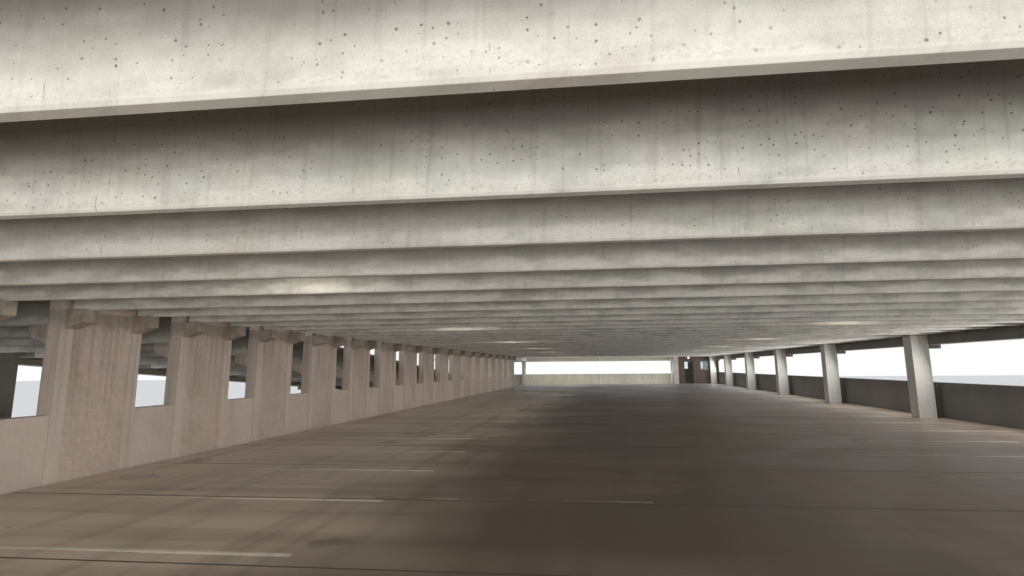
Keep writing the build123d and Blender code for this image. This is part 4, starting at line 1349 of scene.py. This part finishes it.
def make_sky(strength, colour):
    """White to the camera and through glass, and a soft blue sky to everything else."""
    world = bpy.data.worlds.new("sky")
    world.use_nodes = True
    tree = world.node_tree
    tree.nodes.clear()
    path = tree.nodes.new("ShaderNodeLightPath").outputs
    seen = calc(tree, "MAXIMUM", path["Is Camera Ray"], path["Is Transmission Ray"])
    sky = add(tree, "Background", {"Color": colour, "Strength": strength})
    white = add(tree, "Background", {"Color": (1, 1, 1), "Strength": 1.0})
    both = add(tree, "MixShader", {0: seen, 1: sky.outputs[0], 2: white.outputs[0]})
    fill(tree, tree.nodes.new("ShaderNodeOutputWorld").inputs[0], both.outputs[0])
    bpy.context.scene.world = world


make_floor()
make_sky(0.9, (0.93, 0.965, 1.0))
print("floor", 2 * FLOOR_HALF, "m wide")

# %% [markdown]
# The decks are deep, so daylight reaches the camera's side mostly through the open near end, low
# and almost level: that is why the lower half of each stem is bright and the part under the
# flange is dark. One wide, low lamp just inside that end does the same here. Long strips in the
# side openings and at the far end stand for the daylight from there, and two wide, weak sheets
# on each storey for the light that floor and ceiling throw back and forth.

# %% Lamps
ACROSS, ALONG = (1, 0, 0), (0, 1, 0)
MIDDLE_Y = (bay_low.y + bay_high.y) / 2
DECK_LENGTH = bay_high.y - bay_low.y
INSIDE = (9.0, DECK_LENGTH - 0.3)
FAR_X = 0.8                 # middle of the lamps at the far end


def add_light(name, kind, colour, **settings):
    """A lamp, unseen by the camera and in mirrors."""
    data = bpy.data.lights.new(name, kind)
    data.color = colour
    for key, value in settings.items():
        setattr(data, key, value)
    lamp = put(name, data)
    lamp.visible_camera = lamp.visible_glossy = False
    return lamp


def add_lamp(name, place, towards, across, size, brightness, colour=(1, 1, 1)):
    """A rectangle of light that shines one way, its width along across. Its power is pi times
    its area times its brightness, which then counts in the same way as the sky's strength."""
    lamp = add_light(name, "AREA", colour, shape="RECTANGLE", size=size[0], size_y=size[1],
                     energy=np.pi * size[0] * size[1] * brightness)
    back, width = -Vector(towards).normalized(), Vector(across)
    stand(lamp, place, width, back.cross(width), back)


add_lamp("near_end_light", (AISLE_X, NEAR_Y + 0.2, STOREY + 0.75), (0, 1, 0), ACROSS,
         (8.4, 0.75), 8.4, (1, 0.995, 0.975))
for number in range(TEES // TEES_PER_BAY):
    middle = (LEDGE_X - 0.02, NEAR_Y + (number + 0.5) * BAY, STOREY + 0.84)
    add_lamp(f"east_light_{number}", middle, (-1, 0, -0.3), ALONG, (BAY - 0.75, 0.55), 6.5)
add_lamp("west_light", (west_high.x + COLUMN_SIZE + 0.03, MIDDLE_Y, STOREY + 0.9), (1, 0, 0),
         ALONG, (DECK_LENGTH, 0.6), 0.5)
add_lamp("far_end_light", (FAR_X, bay_high.y - 2.5, STOREY + 0.8), (0, 1, -0.1), ACROSS,
         (7.8, 0.5), 2.5, (1, 0.99, 0.88))
add_lamp("far_opening_light", (FAR_X, bay_high.y - 0.25, STOREY + 0.8), (0, -1, -0.9), ACROSS,
         (7.6, 0.5), 3.0, (0.88, 0.94, 1.0))
for level, share in ((0, 0.6), (1, 1.0)):
    floor_height = level * STOREY + 0.02
    soffit = (level + 1) * STOREY - TEE_DEPTH - 0.02
    add_lamp(f"floor_glow_{level}", (AISLE_X, MIDDLE_Y, floor_height), (0, 0, 1), ACROSS, INSIDE,
             0.03 * share)
    add_lamp(f"ceiling_glow_{level}", (AISLE_X, MIDDLE_Y, soffit), (0, 0, -1), ACROSS, INSIDE,
             0.26 * share)
for number, place in enumerate(lamp_places()):
    if place[2] > STOREY:
        bulb = add_light(f"ceiling_lamp_{number}", "POINT", (1, 0.93, 0.82), energy=3.0,
                         shadow_soft_size=0.03)
        bulb.location = place - 0.06 * UP
bpy.context.scene.view_settings.view_transform = "Standard"
